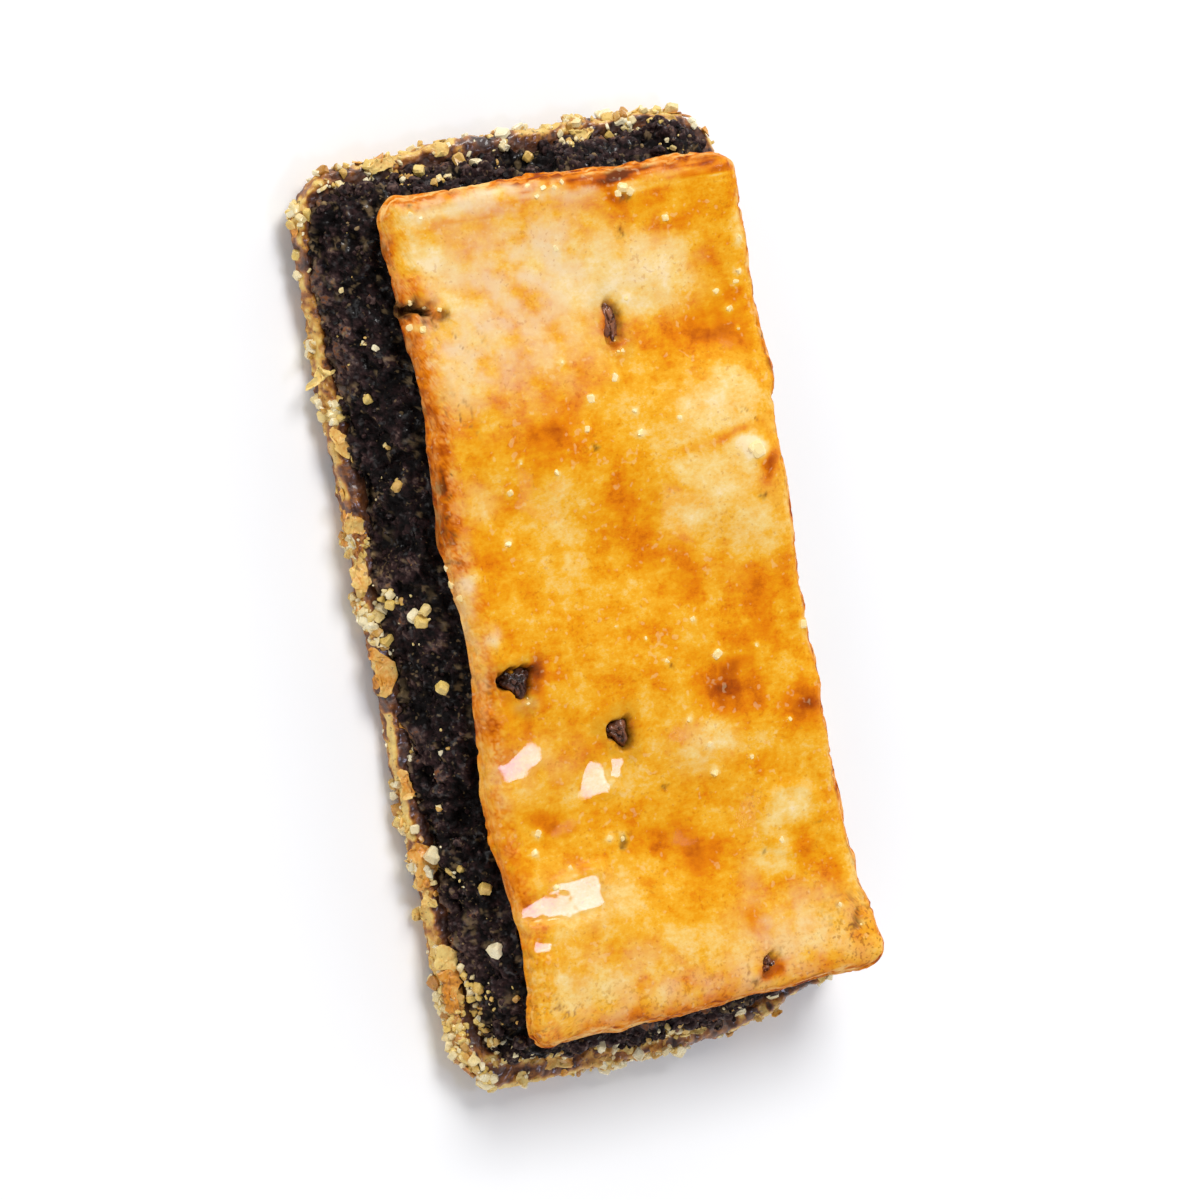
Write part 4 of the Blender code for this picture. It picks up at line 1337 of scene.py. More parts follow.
    def tone(self, zones: Zones) -> Array:
        """How brown the glaze is: noises round the middle tone, a steep bell for each spot, and the rim.

        Args:
            zones: The lid's bare skin.

        Returns:
            Values near 0 for cream, 0.5 for gold and 1 for brown.
        """
        points, inset, strip = zones.points, zones.inset, zones.strip
        flat = points * (1, 1, 0)
        tone = 0.50 + 0.09 * fractal(flat, 7.0, 31) + 0.06 * fractal(flat, 2.2, 35)
        tone += 0.035 * fractal(flat * (0.22, 1, 0), 1.3, 39)
        tone += 0.03 * fractal(flat @ np.array([[0.9, -0.4, 0], [0.1, 0.25, 0], [0, 0, 0]]), 1.1, 43, 2)
        ragged = warped(points, 1.1, 4.0, 51)
        for a, b, half_width, half_length, degrees, browner in SPOTS:
            across, along = turned(*ragged, (a, b), degrees)
            tone += browner * np.exp(-(((across / half_width) ** 2 + (along / half_length) ** 2) ** 1.3))
        x, y = points[:, 0], points[:, 1]
        for _, near in dots(x, y, GLAZED_GRAINS, 0.6, 0.1):
            tone -= 0.32 * near
        baked = 0.14 + (x < -10) * 0.02 + (y > 38) * 0.14 * ease(x, -6.0, 8.0) - ease(x, 17.0, 20.0) * 0.20
        tone += (1 - ease(inset, 0.0, 2.6)) * baked * (1 + 0.9 * fractal(points, 2.6, 93))
        rings = bell(granules(points, 0.8, 47)[0] - 0.5, 0.12)
        tone += strip * (0.07 * fractal(flat * (1, 0.5, 0), 1.1, 46) + 0.15 * rings)
        tone += (0.15 + 0.17 * ease(x, 0.0, 12.0)) * zones.back * zones.streaks
        further = 0.24 * ease(y, 2.0, 12.0)
        curl = 1 - ease(inset, 0.0, 1.6)
        return tone + zones.on_left * ((0.14 + further) * (1 - zones.rise) - (0.12 - further) * curl)

    def stain(self, points: Array) -> Array:
        """How far juice stains each place: in the split, round the currants and on the dots.

        Args:
            points: Places on the lid.

        Returns:
            Shares from 0 to about 1.
        """
        stain = 0.9 * self.split(points, 1.35)
        for currant in CURRANTS:
            soaked = self.hole(points, currant, 1.0) * 0.9 + 0.22 * self.hole(points, currant, 1.9)
            stain = np.maximum(stain, currant.halo * soaked)
        for _, near in dots(*warped(points, 0.45, 0.8, 221), DARK_DOTS, 1.0, 0.0):
            stain = np.maximum(stain, 0.75 * near)
        return stain

    def sheet(self) -> Shell:
        """The sheet: the layer's skin, then its wrinkles, grains, holes, split and laminated edge.

        Returns:
            The skin, with the values that the glaze reads.
        """
        layer = self.layer()
        shell = layer.skin(148, 356, layer.profile((3.3, 2.9, 2.6), (7, 8, 15), ()), (4, 1))
        zones = Zones.read(shell)
        points, inset, rise = zones.points, zones.inset, zones.rise
        x, y = points[:, 0], points[:, 1]
        shell.push(self.wrinkles(zones))
        self.level(shell)
        self.sink(shell, zones)
        tone = self.tone(zones)
        edge = 1 - ease(inset + 0.35 * soft_noise(points, 1.6, 91), 0.0, 0.8)
        edge = np.where(rise < 1, 1.0, edge) * (1 - 0.65 * zones.on_left * (np.abs(y) < 42))
        # Darker towards the bottom of the cut edge, less so at the front right corner; lighter at the back
        # left
        cut_tone_shift = (0.30 - 0.45 * ease(x, 16.0, 20.0) * ease(y, -44.0, -39.0)) * (1 - rise)
        fleck = 0.12 * (1 - ease(inset, 0.0, 2.6)) + 0.20 * ease(-y, 36.5, 40.5)
        inside = np.max([self.mirrored(points, patch) for patch in MIRRORED], axis=0)
        # Painted sheen: a soft pale reflection laid in patches, kept off the browner glaze
        cream_and_sheen = np.zeros(len(points))
        for a, b, half_width, half_length, share in CREAM_AND_SHEEN:
            cream_and_sheen += share * np.exp(-((((x - a) / half_width) ** 2 + ((y - b) / half_length) ** 2) ** 1.5))
        shell.values = {
            "tone": tone,
            "gloss": 0.07 + 0.93 * ease(inside, 0.78, 0.95),
            "cream_and_sheen": np.clip(cream_and_sheen, 0, 0.8) * (1 - ease(tone, 0.55, 0.8)),
            "edge": np.clip(edge, 0, 1),
            "cut_tone_shift": cut_tone_shift - 0.25 * (y > 40) * (1 - ease(x, -8.0, -2.0)),
            "fleck": np.clip(fleck + 0.25 * bell(x - 20, 4) * bell(y + 39.5, 3.2), 0, 1),
            "crack": np.clip(zones.cracks, 0, 1),
            "stain": np.clip(self.stain(points), 0, 1),
        }
        return shell

    def grains(self, sheet: Shell) -> Shell:
        """The sugar under the glaze: a bevelled block, flattened and sunk, at each listed place.

        Args:
            sheet: The finished sheet that they sit in.

        Returns:
            All grains as one shell.
        """
        rng = np.random.default_rng(self.seed)
        listed = np.array(GLAZED_GRAINS)
        near = ((sheet.points[:, None, :2] - listed[None, :, :2]) ** 2).sum(axis=2)
        near += 100.0 * (sheet.points[:, 2:] < self.form.seam(listed[:, 0], listed[:, 1]) + 1.0)
        found = near.argmin(axis=0)
        normals = sheet.normals()[found]
        half = listed[:, 2:] * rng.uniform(0.48, 0.66, (len(listed), 3)) * (1, 0.9, 0.7)
        places = sheet.points[found] - normals * half[:, 2:] * 0.70
        made = heap(globe(8, 4, 0.5), places, axes_along(normals, half, 0.5, rng))
        made.points += 0.10 * jitter(made.points, 0.4, 231)
        made.mark("tint", rng.uniform(0.0, 0.45, len(listed)))
        return made

    def currant(self, place: CurrantPlace) -> Shell:
        """One currant: an ellipsoid whose radius falls along ragged folds, and pinched across its end.

        Args:
            place: Where it sits and how large it is.

        Returns:
            The currant's skin.
        """
        ball = globe(72, 40)
        own = ball.points + (place.x, place.y, 0)
        folds = np.abs(fractal(own, 0.7, 6, 3))
        radius = 0.95 + 0.14 * soft_noise(own, 0.5, 6) - 0.34 * (1 - ease(folds, 0.0, 0.24))
        radius += 0.05 * soft_noise(own, 0.22, 8)
        x, y = ball.points[:, 0], ball.points[:, 1]
        radius -= place.three_cornered * np.cos(3 * np.arctan2(y, x)) * np.hypot(x, y)
        shaped = ball.points * radius[:, None] * (place.half_length, place.half_width, place.half_height)
        x, y = turned(shaped[:, 0], shaped[:, 1], (0, 0), -place.turn)
        roof = self.form.lid_roof(place.x, place.y)
        middle = (place.x, place.y, roof - place.sunk - place.half_height * 0.75)
        ball.points = np.stack([x, y, shaped[:, 2]], axis=1) + middle
        # Painted shade: near black in the folds, lighter on the ridges
        ball.values["depth"] = np.clip(0.8 * ease(folds, 0.0, 0.5), 0, 1)
        ball.mark("glazed", np.array([place.glazed]))
        return ball

    def build(self) -> None:
        """Makes the sheet, its grains and its currants."""
        sheet = self.sheet()
        settle(sheet.piece("lid_sheet", self.finishes.glaze), "glazed_lid")
        settle(self.grains(sheet).piece("lid_sugar", self.finishes.glazed_sugar, smooth=False))
        for place in CURRANTS:
            piece = self.currant(place).piece("lid_" + place.name, self.finishes.skin)
            settle(piece, place.name)


# The filling

# Clusters of sugar on its walls: x, y, z
WALL_CLUSTERS = (
    (-21.0, 30.5, 7.5), (-21.4, 24.9, 6.8), (-21.4, 18.6, 6.8), (-21.6, 19.4, 6.4), (-20.7, 15.6, 8.1),
    (-21.8, 3.8, 6.0), (-22.4, 4.4, 4.9), (-20.3, 1.6, 8.9), (-20.0, -5.8, 9.4), (-20.6, -12.0, 7.0),
    (-20.9, -17.5, 6.0), (-20.4, -24.7, 5.6), (-20.6, -37.4, 5.2), (-21.6, -36.0, 4.4), (-21.2, -39.2, 4.6),
    (-20.6, -41.4, 4.6), (-19.4, -43.4, 4.8), (-17.6, -45.0, 5.0), (-21.0, -38.4, 7.2), (-16.0, -45.6, 6.0),
    (-2.0, -46.4, 6.2), (8.5, -46.2, 5.0), (-12.0, 46.2, 6.0), (-2.0, 46.6, 6.4), (-9.0, 45.6, 7.4),
    (16.5, 47.6, 6.4), (20.0, 46.6, 6.0),
)

# Single grains on its walls: x, y, z, size
WALL_GRAINS = (
    (-21.9, 35.8, 5.8, 0.22), (-20.4, 15.2, 8.4, 0.42), (-20.0, -6.0, 9.2, 0.5), (-19.0, -27.1, 8.3, 0.55),
    (-18.9, -33.8, 8.5, 0.6), (-20.2, -24.4, 5.8, 0.34), (-20.4, -37.2, 5.7, 0.5), (-18.2, -38.5, 9.8, 0.3),
    (-21.9, 4.4, 5.4, 0.4), (-20.5, 1.2, 8.6, 0.55), (-20.2, 2.4, 9.0, 0.45), (-21.4, 24.5, 6.8, 0.36),
    (-22.9, -22.7, 4.2, 0.7), (-22.6, -34.6, 4.6, 0.34), (-22.2, -35.6, 5.0, 0.3),
    (-21.8, -38.8, 5.0, 0.36), (-22.4, -36.4, 4.4, 0.26), (-21.6, -40.4, 4.8, 0.3), (-22.0, 3.4, 5.2, 0.46),
    (-20.8, 1.9, 7.6, 0.6), (8.6, -46.2, 4.4, 0.6), (13.2, -46.4, 4.6, 0.5), (2.0, -46.8, 5.0, 0.45),
    (-8.0, -46.4, 5.2, 0.4), (-6.0, 46.4, 5.6, 0.6), (-4.6, 46.2, 6.4, 0.5), (-10.4, 46.2, 5.2, 0.55),
    (1.6, 46.2, 6.0, 0.5),
)


def pick(shell: Shell, count: int, weight: Array, rng: Chance) -> Array:
    """Point numbers of a shell, drawn by chance with the given weight, each at most once."""
    return rng.choice(len(shell.points), count, replace=False, p=weight / weight.sum())


@dataclass(frozen=True)
class Filling:
    """The currant filling, torn and lumpy where it shows, and what is stuck to it."""

    form: BiscuitForm
    finishes: Finishes
    offset: float = -1.0
    corner: float = 4.5
    across: int = 220
    along: int = 456
    seed: int = 5

    def layer(self) -> Layer:
        """The filling's layer, as the source places it."""
        return Layer(
            foot=(self.form.filling_width / 2, self.form.filling_length / 2),
            head=(self.form.lid_width / 2 - 0.5, self.form.lid_length / 2 - 0.4),
            foot_offset=self.offset,
            head_offset=self.form.lid_offset,
            corner=self.corner,
            bulge=0.5,
            roll_width=0.5,
            upper_drop=0.5,
            lower_drop=0.3,
            floor=self.form.filling_floor,
            roof=self.form.filling_roof,
            uneven=self.form.uneven_filling,
            crumb=filling_crumb,
        )

    def body(self) -> Shell:
        """The body: rounded crumbs of two sizes on its walls, and cavities between them.

        Returns:
            The skin, with each point's depth, which paints shade into gaps, cavities and under the lid, and
            how tan it is.
        """
        layer = self.layer()
        profile = layer.profile((1.6, 1.0), (4, 42, 4), (1.0, 1.6))
        shell = layer.skin(self.across, self.along, profile, (4, 4))
        points, rise = shell.points, shell.values["rise"]
        shown = 1 - ease(shell.values["inset"], 0.3, 1.4)
        big, big_number = granules(points, 1.25, 101)
        small, small_number = granules(points, 0.52, 111)
        cavity = np.maximum(0, fractal(points, 2.4, 125) - 0.20)
        cleft = np.maximum(0, 0.10 - np.abs(soft_noise(points * (1, 1, 0.35), 5.0, 127))) / 0.10
        cleft *= ease(soft_noise(points, 9.0, 128), 0.0, 0.3)
        amount = 0.75 * (0.5 - big) + 0.60 * (0.5 - small) + 0.08 * soft_noise(points, 0.3, 121)
        amount += 0.40 * soft_noise(points, 2.8, 126) - 0.7 * ease(rise, 0.72, 0.92)
        amount -= 1.3 * cavity + 0.9 * cleft
        shell.push(np.clip(amount, -1.3, 0.55) * shown)
        # Painted shade and light: darker in the gaps between crumbs and in cavities and clefts, lighter on
        # lumps, over the paste's own uneven tone
        depth = 0.72 - 0.45 * big - 0.60 * small - 1.2 * cavity - 0.5 * cleft
        depth += 0.40 * (big_number > 0.95) + 0.45 * (small_number - 0.5)
        depth += 0.38 * fractal(points, 3.4, 129, 2) + 0.30 * filling_crumb(points)
        # Lighter towards the foot, and a painted shadow under the lid's overhang at the top
        depth += 0.22 * (1 - ease(rise, 0.15, 0.6)) - 0.3 * ease(rise, 0.7, 0.95)
        tan = 0.35 * (small_number > 0.985) + 0.30 * (1 - ease(rise, 0.0, 0.14)) * (small_number > 0.6)
        patches = ease(fractal(points, 1.5, 133), 0.15, 0.5)
        patches *= ease(soft_noise(points, 6.0, 137), -0.1, 0.3)
        tan += 0.42 * patches * ease(fractal(points, 0.55, 139), 0.0, 0.4)
        shell.values = {"depth": np.clip(depth, 0, 1), "tan": np.clip(tan * shown, 0, 1)}
        return shell

    def wall(self, body: Shell) -> Array:
        """Which points stand on the walls and not on the hidden faces, as 1 or 0."""
        x, y = np.abs(body.points[:, :2].T)
        reach = np.maximum(x - self.form.filling_width / 2, y - self.form.filling_length / 2)
        return 1.0 * ((np.abs(body.normals()[:, 2]) < 0.75) & (reach > -4.5))

    def currants(self, body: Shell, rng: Chance) -> Shell:
        """Whole currants that stand half out of the walls: wrinkled ellipsoids, thicker at the ends.

        Args:
            body: The finished body.
            rng: Where the chances come from.

        Returns:
            All of them as one shell.
        """
        ends = ease(np.abs(body.points[:, 1]), 40.0, 44.0)
        found = pick(body, 130, self.wall(body) * (0.25 + 2.2 * ends), rng)
        half = rng.uniform(0.75, 1.35, (len(found), 1)) * rng.uniform(0.5, 1.0, (len(found), 3))
        normals = body.normals()[found]
        places = body.points[found] - normals * half[:, :1] * 0.45
        made = heap(globe(20, 12), places, axes_along(normals, half, 2.0, rng))
        folds = np.abs(fractal(made.points, 0.7, 131, 2))
        made.push(-0.24 * (1 - ease(folds, 0.0, 0.3)) + 0.16 * soft_noise(made.points, 0.5, 135))
        # Painted shade: darker in the folds
        made.values["depth"] = np.clip(0.10 + 0.5 * ease(folds, 0.0, 0.4), 0, 1)
        return made

    def crumbs(self, body: Shell, rng: Chance) -> Shell:
        """Loose crumbs stuck all over the walls: small uneven blocks.

        Args:
            body: The finished body.
            rng: Where the chances come from.

        Returns:
            All crumbs as one shell.
        """
        found = pick(body, 1500, self.wall(body), rng)
        half = rng.uniform(0.14, 0.36, (len(found), 1)) * rng.uniform(0.6, 1.0, (len(found), 3))
        made = heap(globe(7, 4, 0.8), body.points[found], axes_along(body.normals()[found], half, 3.0, rng))
        made.push(0.07 * soft_noise(made.points, 0.25, 141))
        made.mark("depth", rng.uniform(0.0, 0.65, len(found)))
        made.mark("tan", 0.8 * (rng.random(len(found)) > 0.975))
        return made

    def sugar(self, body: Shell, rng: Chance) -> Shell:
        """Sugar on the walls: clusters of small grains, listed and scattered, and single larger ones.

        Args:
            body: The finished body.
            rng: Where the chances come from.

        Returns:
            All grains as one shell.
        """
        points, wall = body.points, self.wall(body)
        scattered = points[pick(body, 34, wall * (points[:, 0] > -16), rng)]
        middles = np.vstack([WALL_CLUSTERS, scattered])
        away = np.sqrt(((points[:, None, :] - middles[None, :, :]) ** 2).sum(axis=2)).min(axis=1)
        clustered = pick(body, 380, wall * (1 + 4 * front_left(points)) * bell(away, 0.75) + 1e-12, rng)
        single = pick(body, 110, wall, rng)
        listed = np.array(WALL_GRAINS)
        beside = (((points[:, None, :] - listed[None, :, :3]) ** 2).sum(axis=2)).argmin(axis=0)
        found = np.concatenate([clustered, single, beside])
        sizes = [rng.uniform(0.12, 0.40, 380), rng.uniform(0.05, 0.14, 110), 1.35 * listed[:, 3]]
        half = np.concatenate(sizes)[:, None] * rng.uniform(0.7, 1.0, (len(found), 3))
        normals = body.normals()[found]
        places = points[found] + normals * half[:, :1] * 0.3
        made = heap(globe(8, 4, 0.5), places, axes_along(normals, half, 2.0, rng))
        made.points += 0.17 * jitter(made.points, 0.45, 145)
        made.mark("tint", rng.uniform(0.0, 0.9, len(found)))
        return made

    def build(self) -> None:
        """Makes the body and what is stuck to it."""
        rng = np.random.default_rng(self.seed)
        body = self.body()
        settle(body.piece("filling_body", self.finishes.paste), "currant_filling")
        settle(self.currants(body, rng).piece("filling_currants", self.finishes.paste))
        settle(self.crumbs(body, rng).piece("filling_crumbs", self.finishes.paste))
        settle(self.sugar(body, rng).piece("filling_sugar", self.finishes.sugar, smooth=False))


# The base

# Plates on its ledge: x, y, half width, half length, turn in degrees, tint
PLATES = (
    (-23.1, -23.2, 1.5, 2.4, 12, 0.42), (-22.8, -37.1, 1.2, 2.0, -8, 0.55),
    (-22.3, -33.7, 1.0, 1.5, -30, 0.05), (-23.5, -27.4, 0.7, 1.0, 0, 0.05),
    (-23.9, 12.1, 1.2, 1.4, 20, 0.25), (-23.7, 9.7, 0.9, 1.2, 0, 0.9), (-24.0, 7.2, 1.1, 1.5, -10, 0.2),
    (-23.8, -3.0, 1.1, 2.2, 0, 0.4), (-24.6, 27.5, 2.0, 0.8, 29, -0.3), (-23.6, 20.6, 0.9, 1.3, 15, 0.25),
    (-23.4, -15.2, 0.8, 1.7, 0, 0.3), (-6.0, -47.0, 2.2, 0.7, 0, 0.1), (-12.5, -46.6, 1.8, 0.8, 6, 0.3),
    (3.0, -47.2, 1.6, 0.6, -4, 0.05), (9.0, 47.6, 1.3, 0.6, 0, 0.05), (-14.0, 47.6, 1.6, 0.6, -5, 0.1),
    (23.2, 14.0, 0.9, 1.8, 0, 0.3), (23.4, -18.0, 0.9, 1.6, 10, 0.15), (23.6, 33.0, 1.0, 1.5, -8, 0.5),
    (22.2, -36.0, 0.9, 1.7, -6, 0.35),
)


@dataclass(frozen=True)
class Base:
    """The lower sheet, crusted with sugar and flakes on its rim."""

    form: BiscuitForm
    finishes: Finishes
    corner: float = 5.5
    seed: int = 9
    lowest_crumb: float = 0.02

    def layer(self) -> Layer:
        """The base's layer, as the source places it."""
        half = (self.form.base_width / 2, self.form.base_length / 2)
        return Layer(
            foot=(half[0] - 0.2, half[1] - 0.2),
            head=half,
            foot_offset=0.0,
            head_offset=0.0,
            corner=self.corner,
            bulge=0.2,
            roll_width=0.7,
            upper_drop=0.7,
            lower_drop=0.4,
            floor=self.form.lift,
            roof=self.form.ledge,
            uneven=self.form.uneven_base,
            crumb=pastry_crumb,
        )

    def ribbon(self, points: Array, rise: Array) -> Array:
        """A bell along the pale ribbon of crust by the front edge, broken up by a noise."""
        line = -46.9 + 0.011 * np.minimum(points[:, 0] + 6, 0) ** 2
        return bell(points[:, 1] - line, 0.8) * rise * ease(soft_noise(points, 2.6, 175), -0.5, -0.1)

    def sheet(self) -> Shell:
        """The sheet: a blistered ledge, a flaky cut edge and a dimpled underside.

        Returns:
            The skin, with how brown and how sticky each point is.
        """
        layer = self.layer()
        under = (8.0, 7.2, 6.4, 5.6, 4.8, 4.0, 3.3, 2.7, 2.2, 1.7, 1.2)
        profile = layer.profile(under, (5, 10, 6), np.arange(1.0, 6.2, 0.28))
        shell = layer.skin(200, 400, profile, (4, 4))
        points, inset, rise = shell.points, shell.values["inset"], shell.values["rise"]
        wall = 1 - ease(inset, 0.0, 1.2)
        laminated = soft_noise(points * (0.35, 0.35, 2.4), 1.0, 161)
        blisters, number = granules(points, 2.3, 165)
        crust, _ = granules(points, 0.85, 167)
        amount = wall * (0.13 * laminated + 0.15 * fractal(points, 0.9, 169))
        amount += 0.35 * (0.5 - crust) * np.maximum(wall, rise)
        blistered = 0.30 * np.maximum(0, 0.5 - blisters) * (number > 0.5) + 0.07 * fractal(points, 1.2, 173)
        amount += rise * (1 - wall * 0.5) * blistered
        ribbon = self.ribbon(points, rise)
        amount += ribbon * (0.35 + 0.25 * soft_noise(points, 1.1, 176))
        amount += (1 - rise) * ease(inset, 0.0, 2.0) * 0.10 * fractal(points, 1.6, 177)
        lift = self.form.lift(points[:, 0], points[:, 1])
        amount = np.where((rise == 0) & (inset > 0.7), np.minimum(amount, lift), amount)
        shell.push(amount)
        shell.points[:, 2] = np.maximum(shell.points[:, 2], 0.0)
        patch = ease(soft_noise(points, 4.2, 181) + 0.5 * soft_noise(points, 1.6, 182), -0.15, 0.15)
        seam = rise * ease(inset + 0.4 * soft_noise(points, 2.0, 183), 0.7, 1.5)
        tone = 0.68 - 0.42 * patch + 0.12 * fractal(points, 1.2, 184) + 0.9 * (crust - 0.42)
        tone += (0.90 - tone) * np.maximum(seam, 0)
        line = (1 - ease(inset + 0.25 * soft_noise(points, 0.8, 187), 0.15, 0.6)) * ease(rise, 0.5, 0.8)
        tone += (0.04 - tone) * line * ease(soft_noise(points, 2.2, 188), -0.35, 0.05)
        tone += (0.32 - tone) * (1 - rise) * ease(inset, 0.6, 2.5)
        tone += (0.02 - tone) * ribbon * ease(soft_noise(points, 0.9, 185), -0.6, 0.0)
        shell.values = {"tone": np.clip(tone, 0, 1), "sticky": np.clip(rise * (1 - 0.6 * patch), 0, 1)}
        return shell

    def rim(self, sheet: Shell) -> Array:
        """Which points can carry sugar: the cut edge, and the ledge as far as the filling's foot."""
        x, y, z = sheet.points.T
        reach_x = np.abs(x + 1.0) > self.form.filling_width / 2 - 1.6
        reach_y = np.abs(y) > self.form.filling_length / 2 - 1.6
        return (reach_x | reach_y) & (z > self.form.lift(x, y) + 0.5)

    def above_table(self, made: Shell) -> None:
        """Keeps loose crumbs off the table."""
        made.points[:, 2] = np.maximum(made.points[:, 2], self.lowest_crumb)

    def sugar(self, sheet: Shell, rng: Chance) -> Shell:
        """The crust of grains: dense clusters by a noise, thickest at the ends and the front left corner.

        Args:
            sheet: The finished sheet.
            rng: Where the chances come from.

        Returns:
            All grains as one shell.
        """
        points = sheet.points
        x, y = points[:, 0], points[:, 1]
        clusters = soft_noise(points, 3.4, 191) + 0.8 * soft_noise(points, 1.4, 192)
        clusters = np.clip(clusters - 0.25, 0.004, 1.0)
        ends = 1 + 1.2 * ease(np.abs(y), 42, 47) + 1.5 * bell(y + 46.9, 0.7) * (x < 0)
        outer = np.maximum(np.abs(x) - self.form.base_width / 2, np.abs(y) - self.form.base_length / 2)
        corner = 1.5 * front_left(points)
        weight = self.rim(sheet) * (clusters + 0.3 * corner) * (ends + corner)
        weight *= np.exp(np.clip(outer, -4, 0) / 1.6)
        found = pick(sheet, 2100, weight, rng)
        size = rng.choice((0.18, 0.30, 0.45, 0.65), (len(found), 1), p=(0.42, 0.34, 0.18, 0.06))
        half = size * rng.uniform(0.75, 1.25, (len(found), 1)) * rng.uniform(0.55, 1.1, (len(found), 3))
        half[:, 2:] = np.minimum(half[:, 2:], 0.4)
        normals = sheet.normals()[found]
        places = points[found] + normals * half[:, :1] * 0.25
        made = heap(globe(8, 4, 0.4), places, axes_along(normals, half, 1.6, rng))
        made.points += 0.20 * jitter(made.points, 0.6, 187)
        self.above_table(made)
        made.mark("tint", rng.random(len(found)) ** 1.8 + 0.35 * front_left(places))
        return made

    def flakes(self, sheet: Shell, rng: Chance) -> Shell:
        """Brittle flakes on the rim: thin uneven plates that curl up by the square of the distance out.

        Args:
            sheet: The finished sheet.
            rng: Where the chances come from.

        Returns:
            All flakes as one shell.
        """
        weight = self.rim(sheet) * np.clip(soft_noise(sheet.points, 6.0, 195) + 0.5, 0.02, 1)
        found = pick(sheet, 100, weight, rng)
        half = rng.uniform(0.5, 1.2, (len(found), 1)) * rng.uniform(0.45, 1.0, (len(found), 3))
        half[:, 2] = rng.uniform(0.07, 0.14, len(found))
        normals = sheet.normals()[found]
        plate = globe(10, 4, 0.8)
        plate.points[:, 2] += 1.6 * (plate.points[:, 0] ** 2 + 0.6 * plate.points[:, 1] ** 2)
        made = heap(plate, sheet.points[found] + normals * 0.12, axes_along(normals, half, 0.5, rng))
        made.points += 0.34 * jitter(made.points, 1.0, 196)
        made.points += 0.16 * jitter(made.points, 0.45, 199)
        self.above_table(made)
        made.mark("tint", rng.uniform(0.0, 0.7, len(found)))
        return made

    def plates(self) -> Shell:
        """The larger plates that lie on the ledge: each listed one curls up by the square of the distance.

        Returns:
            All plates as one shell.
        """
        x, y, half_width, half_length, degrees, tint = np.array(PLATES).T
        turn = np.radians(degrees)
        lean = 0.16 * np.sin(7.0 * x + 3.0 * y)
        level = np.zeros(len(x))
        up = unit(np.stack([lean, -0.5 * lean, level + 1], axis=1))
        side = unit(np.cross(np.stack([-np.sin(turn), np.cos(turn), level], axis=1), up))
        half = np.stack([half_width, half_length, level + 0.13], axis=1)
        axes = np.stack([side, np.cross(up, side), up], axis=1) * half[:, :, None]
        plate = globe(28, 9, 0.75)
        plate.points[:, 2] += 1.6 * (plate.points[:, 0] ** 2 + plate.points[:, 1] ** 2)
        made = heap(plate, np.stack([x, y, self.form.ledge(x, y) + 0.22], axis=1), axes)
        ragged = np.stack([fractal(made.points, 1.3, 241 + 4 * i) for i in range(3)], axis=1)
        made.points += ragged * (0.75, 0.75, 0.34)
        made.mark("tint", tint)
        return made

    def build(self) -> None:
        """Makes the sheet, its sugar, its flakes and its plates."""
        rng = np.random.default_rng(self.seed)
        sheet = self.sheet()
        settle(sheet.piece("base_sheet", self.finishes.pastry), "base_pastry")
        settle(self.sugar(sheet, rng).piece("base_sugar", self.finishes.sugar, smooth=False))
        settle(self.flakes(sheet, rng).piece("base_flakes", self.finishes.flake, smooth=False))
        settle(self.plates().piece("base_plates", self.finishes.flake, smooth=False))


# The studio


@dataclass(frozen=True)
class SoftBox:
    """A square light: where it hangs, what it faces, its side and its power."""

    name: str
    place: tuple[float, float, float]
    target: tuple[float, float, float]
    side: float
    power: float
    tint: tuple[float, float, float] = (1.0, 1.0, 1.0)

    def build(self) -> None:
        """Hangs the light."""
        lamp = bpy.data.lights.new(self.name, "AREA")
        lamp.color = self.tint
        lamp.shape = "SQUARE"
        lamp.size = self.side
        lamp.energy = self.power
        made = bpy.data.objects.new(self.name, lamp)
        made.visible_camera = False
        made.location = self.place
        made.rotation_euler = (Vector(self.target) - Vector(self.place)).to_track_quat("-Z", "Y").to_euler()
        bpy.context.scene.collection.objects.link(made)


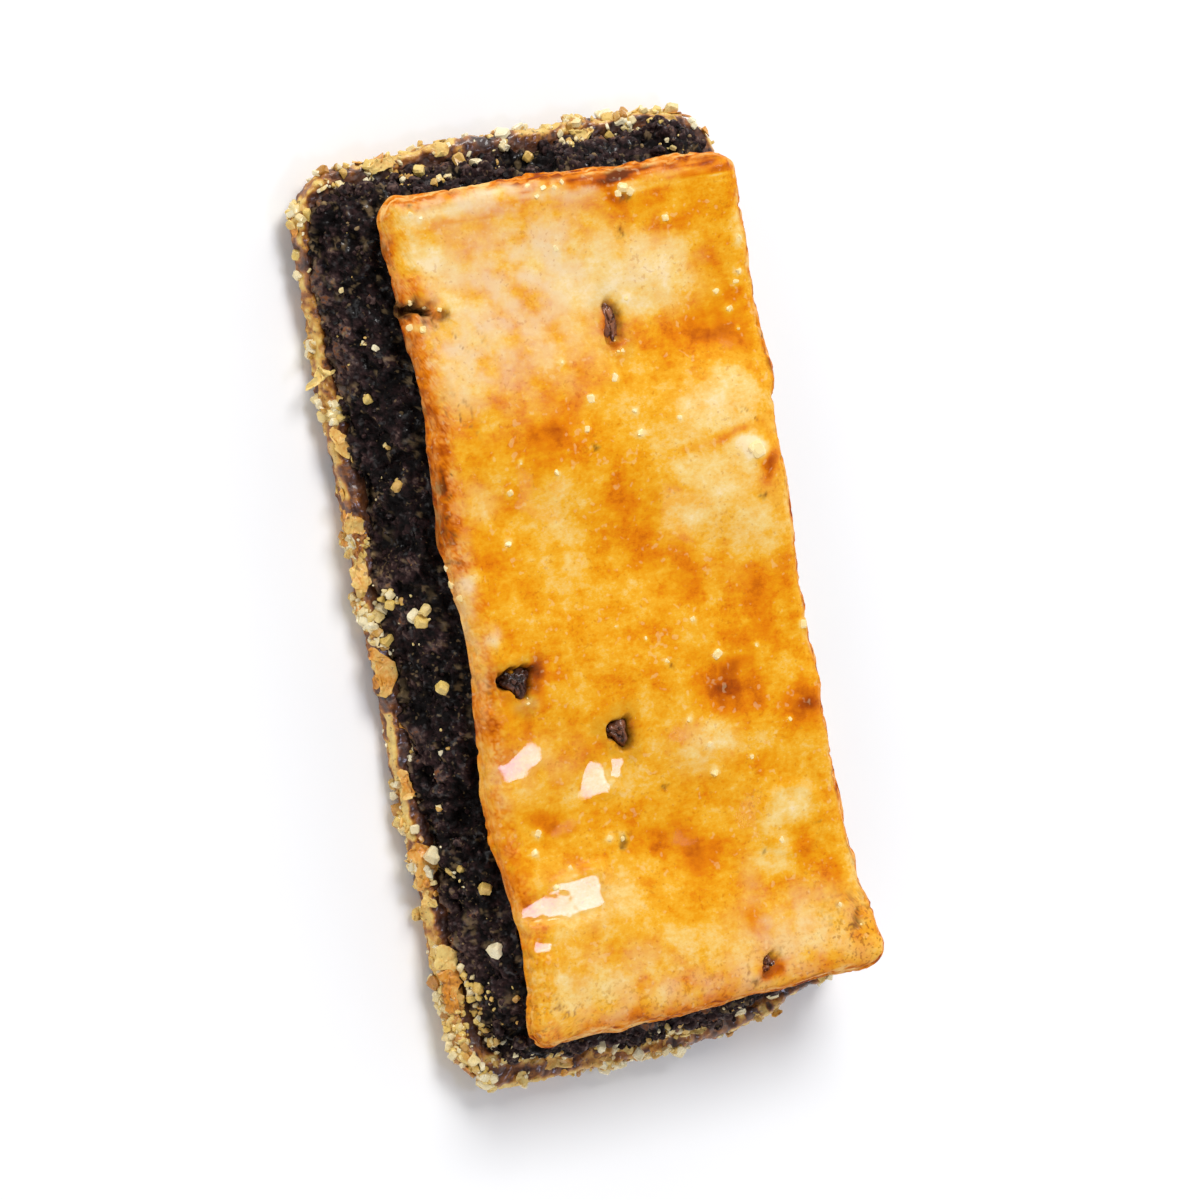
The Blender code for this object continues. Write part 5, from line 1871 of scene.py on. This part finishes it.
@dataclass(frozen=True)
class Studio:
    """A pale floor, soft light and the camera."""

    floor_side: float = 3.0
    wall_light: float = 1.14
    ceiling_light: float = 0.14
    lens: float = 166.0
    camera_place: tuple[float, float, float] = CAMERA
    camera_target: tuple[float, float, float] = (0.0, -0.0005, 0.0075)
    camera_up: tuple[float, float, float] = (0.144, 0.9835, 0.1098)
    boxes: tuple[SoftBox, ...] = (
        SoftBox("key", (0.25, 0.75, 1.0), (0, 0, 0), 0.55, 11.0),
        SoftBox("window", WINDOW, (-0.011, -0.022, 0.013), 0.038, 0.067, (0.61, 0.67, 0.94)),
    )

    def floor(self) -> None:
        """A wide flat sheet under the biscuit: a grid of one face with its corners at half the side."""
        half = self.floor_side / 2 / MM
        points = np.array([[-half, -half, 0], [half, -half, 0], [half, half, 0], [-half, half, 0]])
        paper = Surface("floor_paper")
        stops = ((0.0, srgb(250, 250, 250)), (1.0, srgb(252, 252, 252)))
        paper.set("Base Color", paper.board.ramp(paper.board.noise(paper.place, 60.0), stops))
        paper.set("Roughness", 0.9)
        paper.set("Specular IOR Level", 0.1)
        Shell(points, np.arange(4), np.array([4])).piece("floor", paper.made, smooth=False)

    def sky(self) -> None:
        """White light from walls all round, and a dim ceiling that the glaze mirrors."""
        world = bpy.data.worlds.new("studio")
        world.use_nodes = True
        board = Board(world.node_tree)
        direction = board.add("TexCoord").outputs["Generated"]
        height = board.add("SeparateXYZ", {0: direction}).outputs["Z"]
        light = board.remap(height, 0.50, 0.80, self.wall_light, self.ceiling_light)
        background = world.node_tree.nodes["Background"]
        background.inputs["Color"].default_value = (1.0, 1.0, 1.0, 1.0)
        board.feed(background.inputs["Strength"], light)
        bpy.context.scene.world = world

    def camera(self) -> None:
        """The camera: its back axis points away from the target, its up axis is near the given one."""
        lens = bpy.data.cameras.new("camera")
        lens.lens = self.lens
        lens.sensor_width = 36.0
        lens.clip_start = 0.01
        lens.clip_end = 20.0
        back = (Vector(self.camera_place) - Vector(self.camera_target)).normalized()
        right = Vector(self.camera_up).cross(back).normalized()
        up = back.cross(right)
        made = bpy.data.objects.new("camera", lens)
        turn = Matrix((right, up, back)).transposed().to_4x4()
        made.matrix_world = Matrix.Translation(self.camera_place) @ turn
        bpy.context.scene.collection.objects.link(made)
        bpy.context.scene.camera = made

    def build(self) -> None:
        """Sets the stage."""
        self.floor()
        self.sky()
        for box in self.boxes:
            box.build()
        self.camera()
        bpy.context.scene.view_settings.view_transform = "Standard"


def main() -> None:
    """Builds the biscuit from the table up, then the studio."""
    logging.basicConfig(level=logging.INFO, format="%(message)s")
    form = BiscuitForm()
    finishes = Finishes.build()
    for part in (Base(form, finishes), Filling(form, finishes), Lid(form, finishes)):
        part.build()
    Studio().build()


if __name__ == "__main__":
    main()
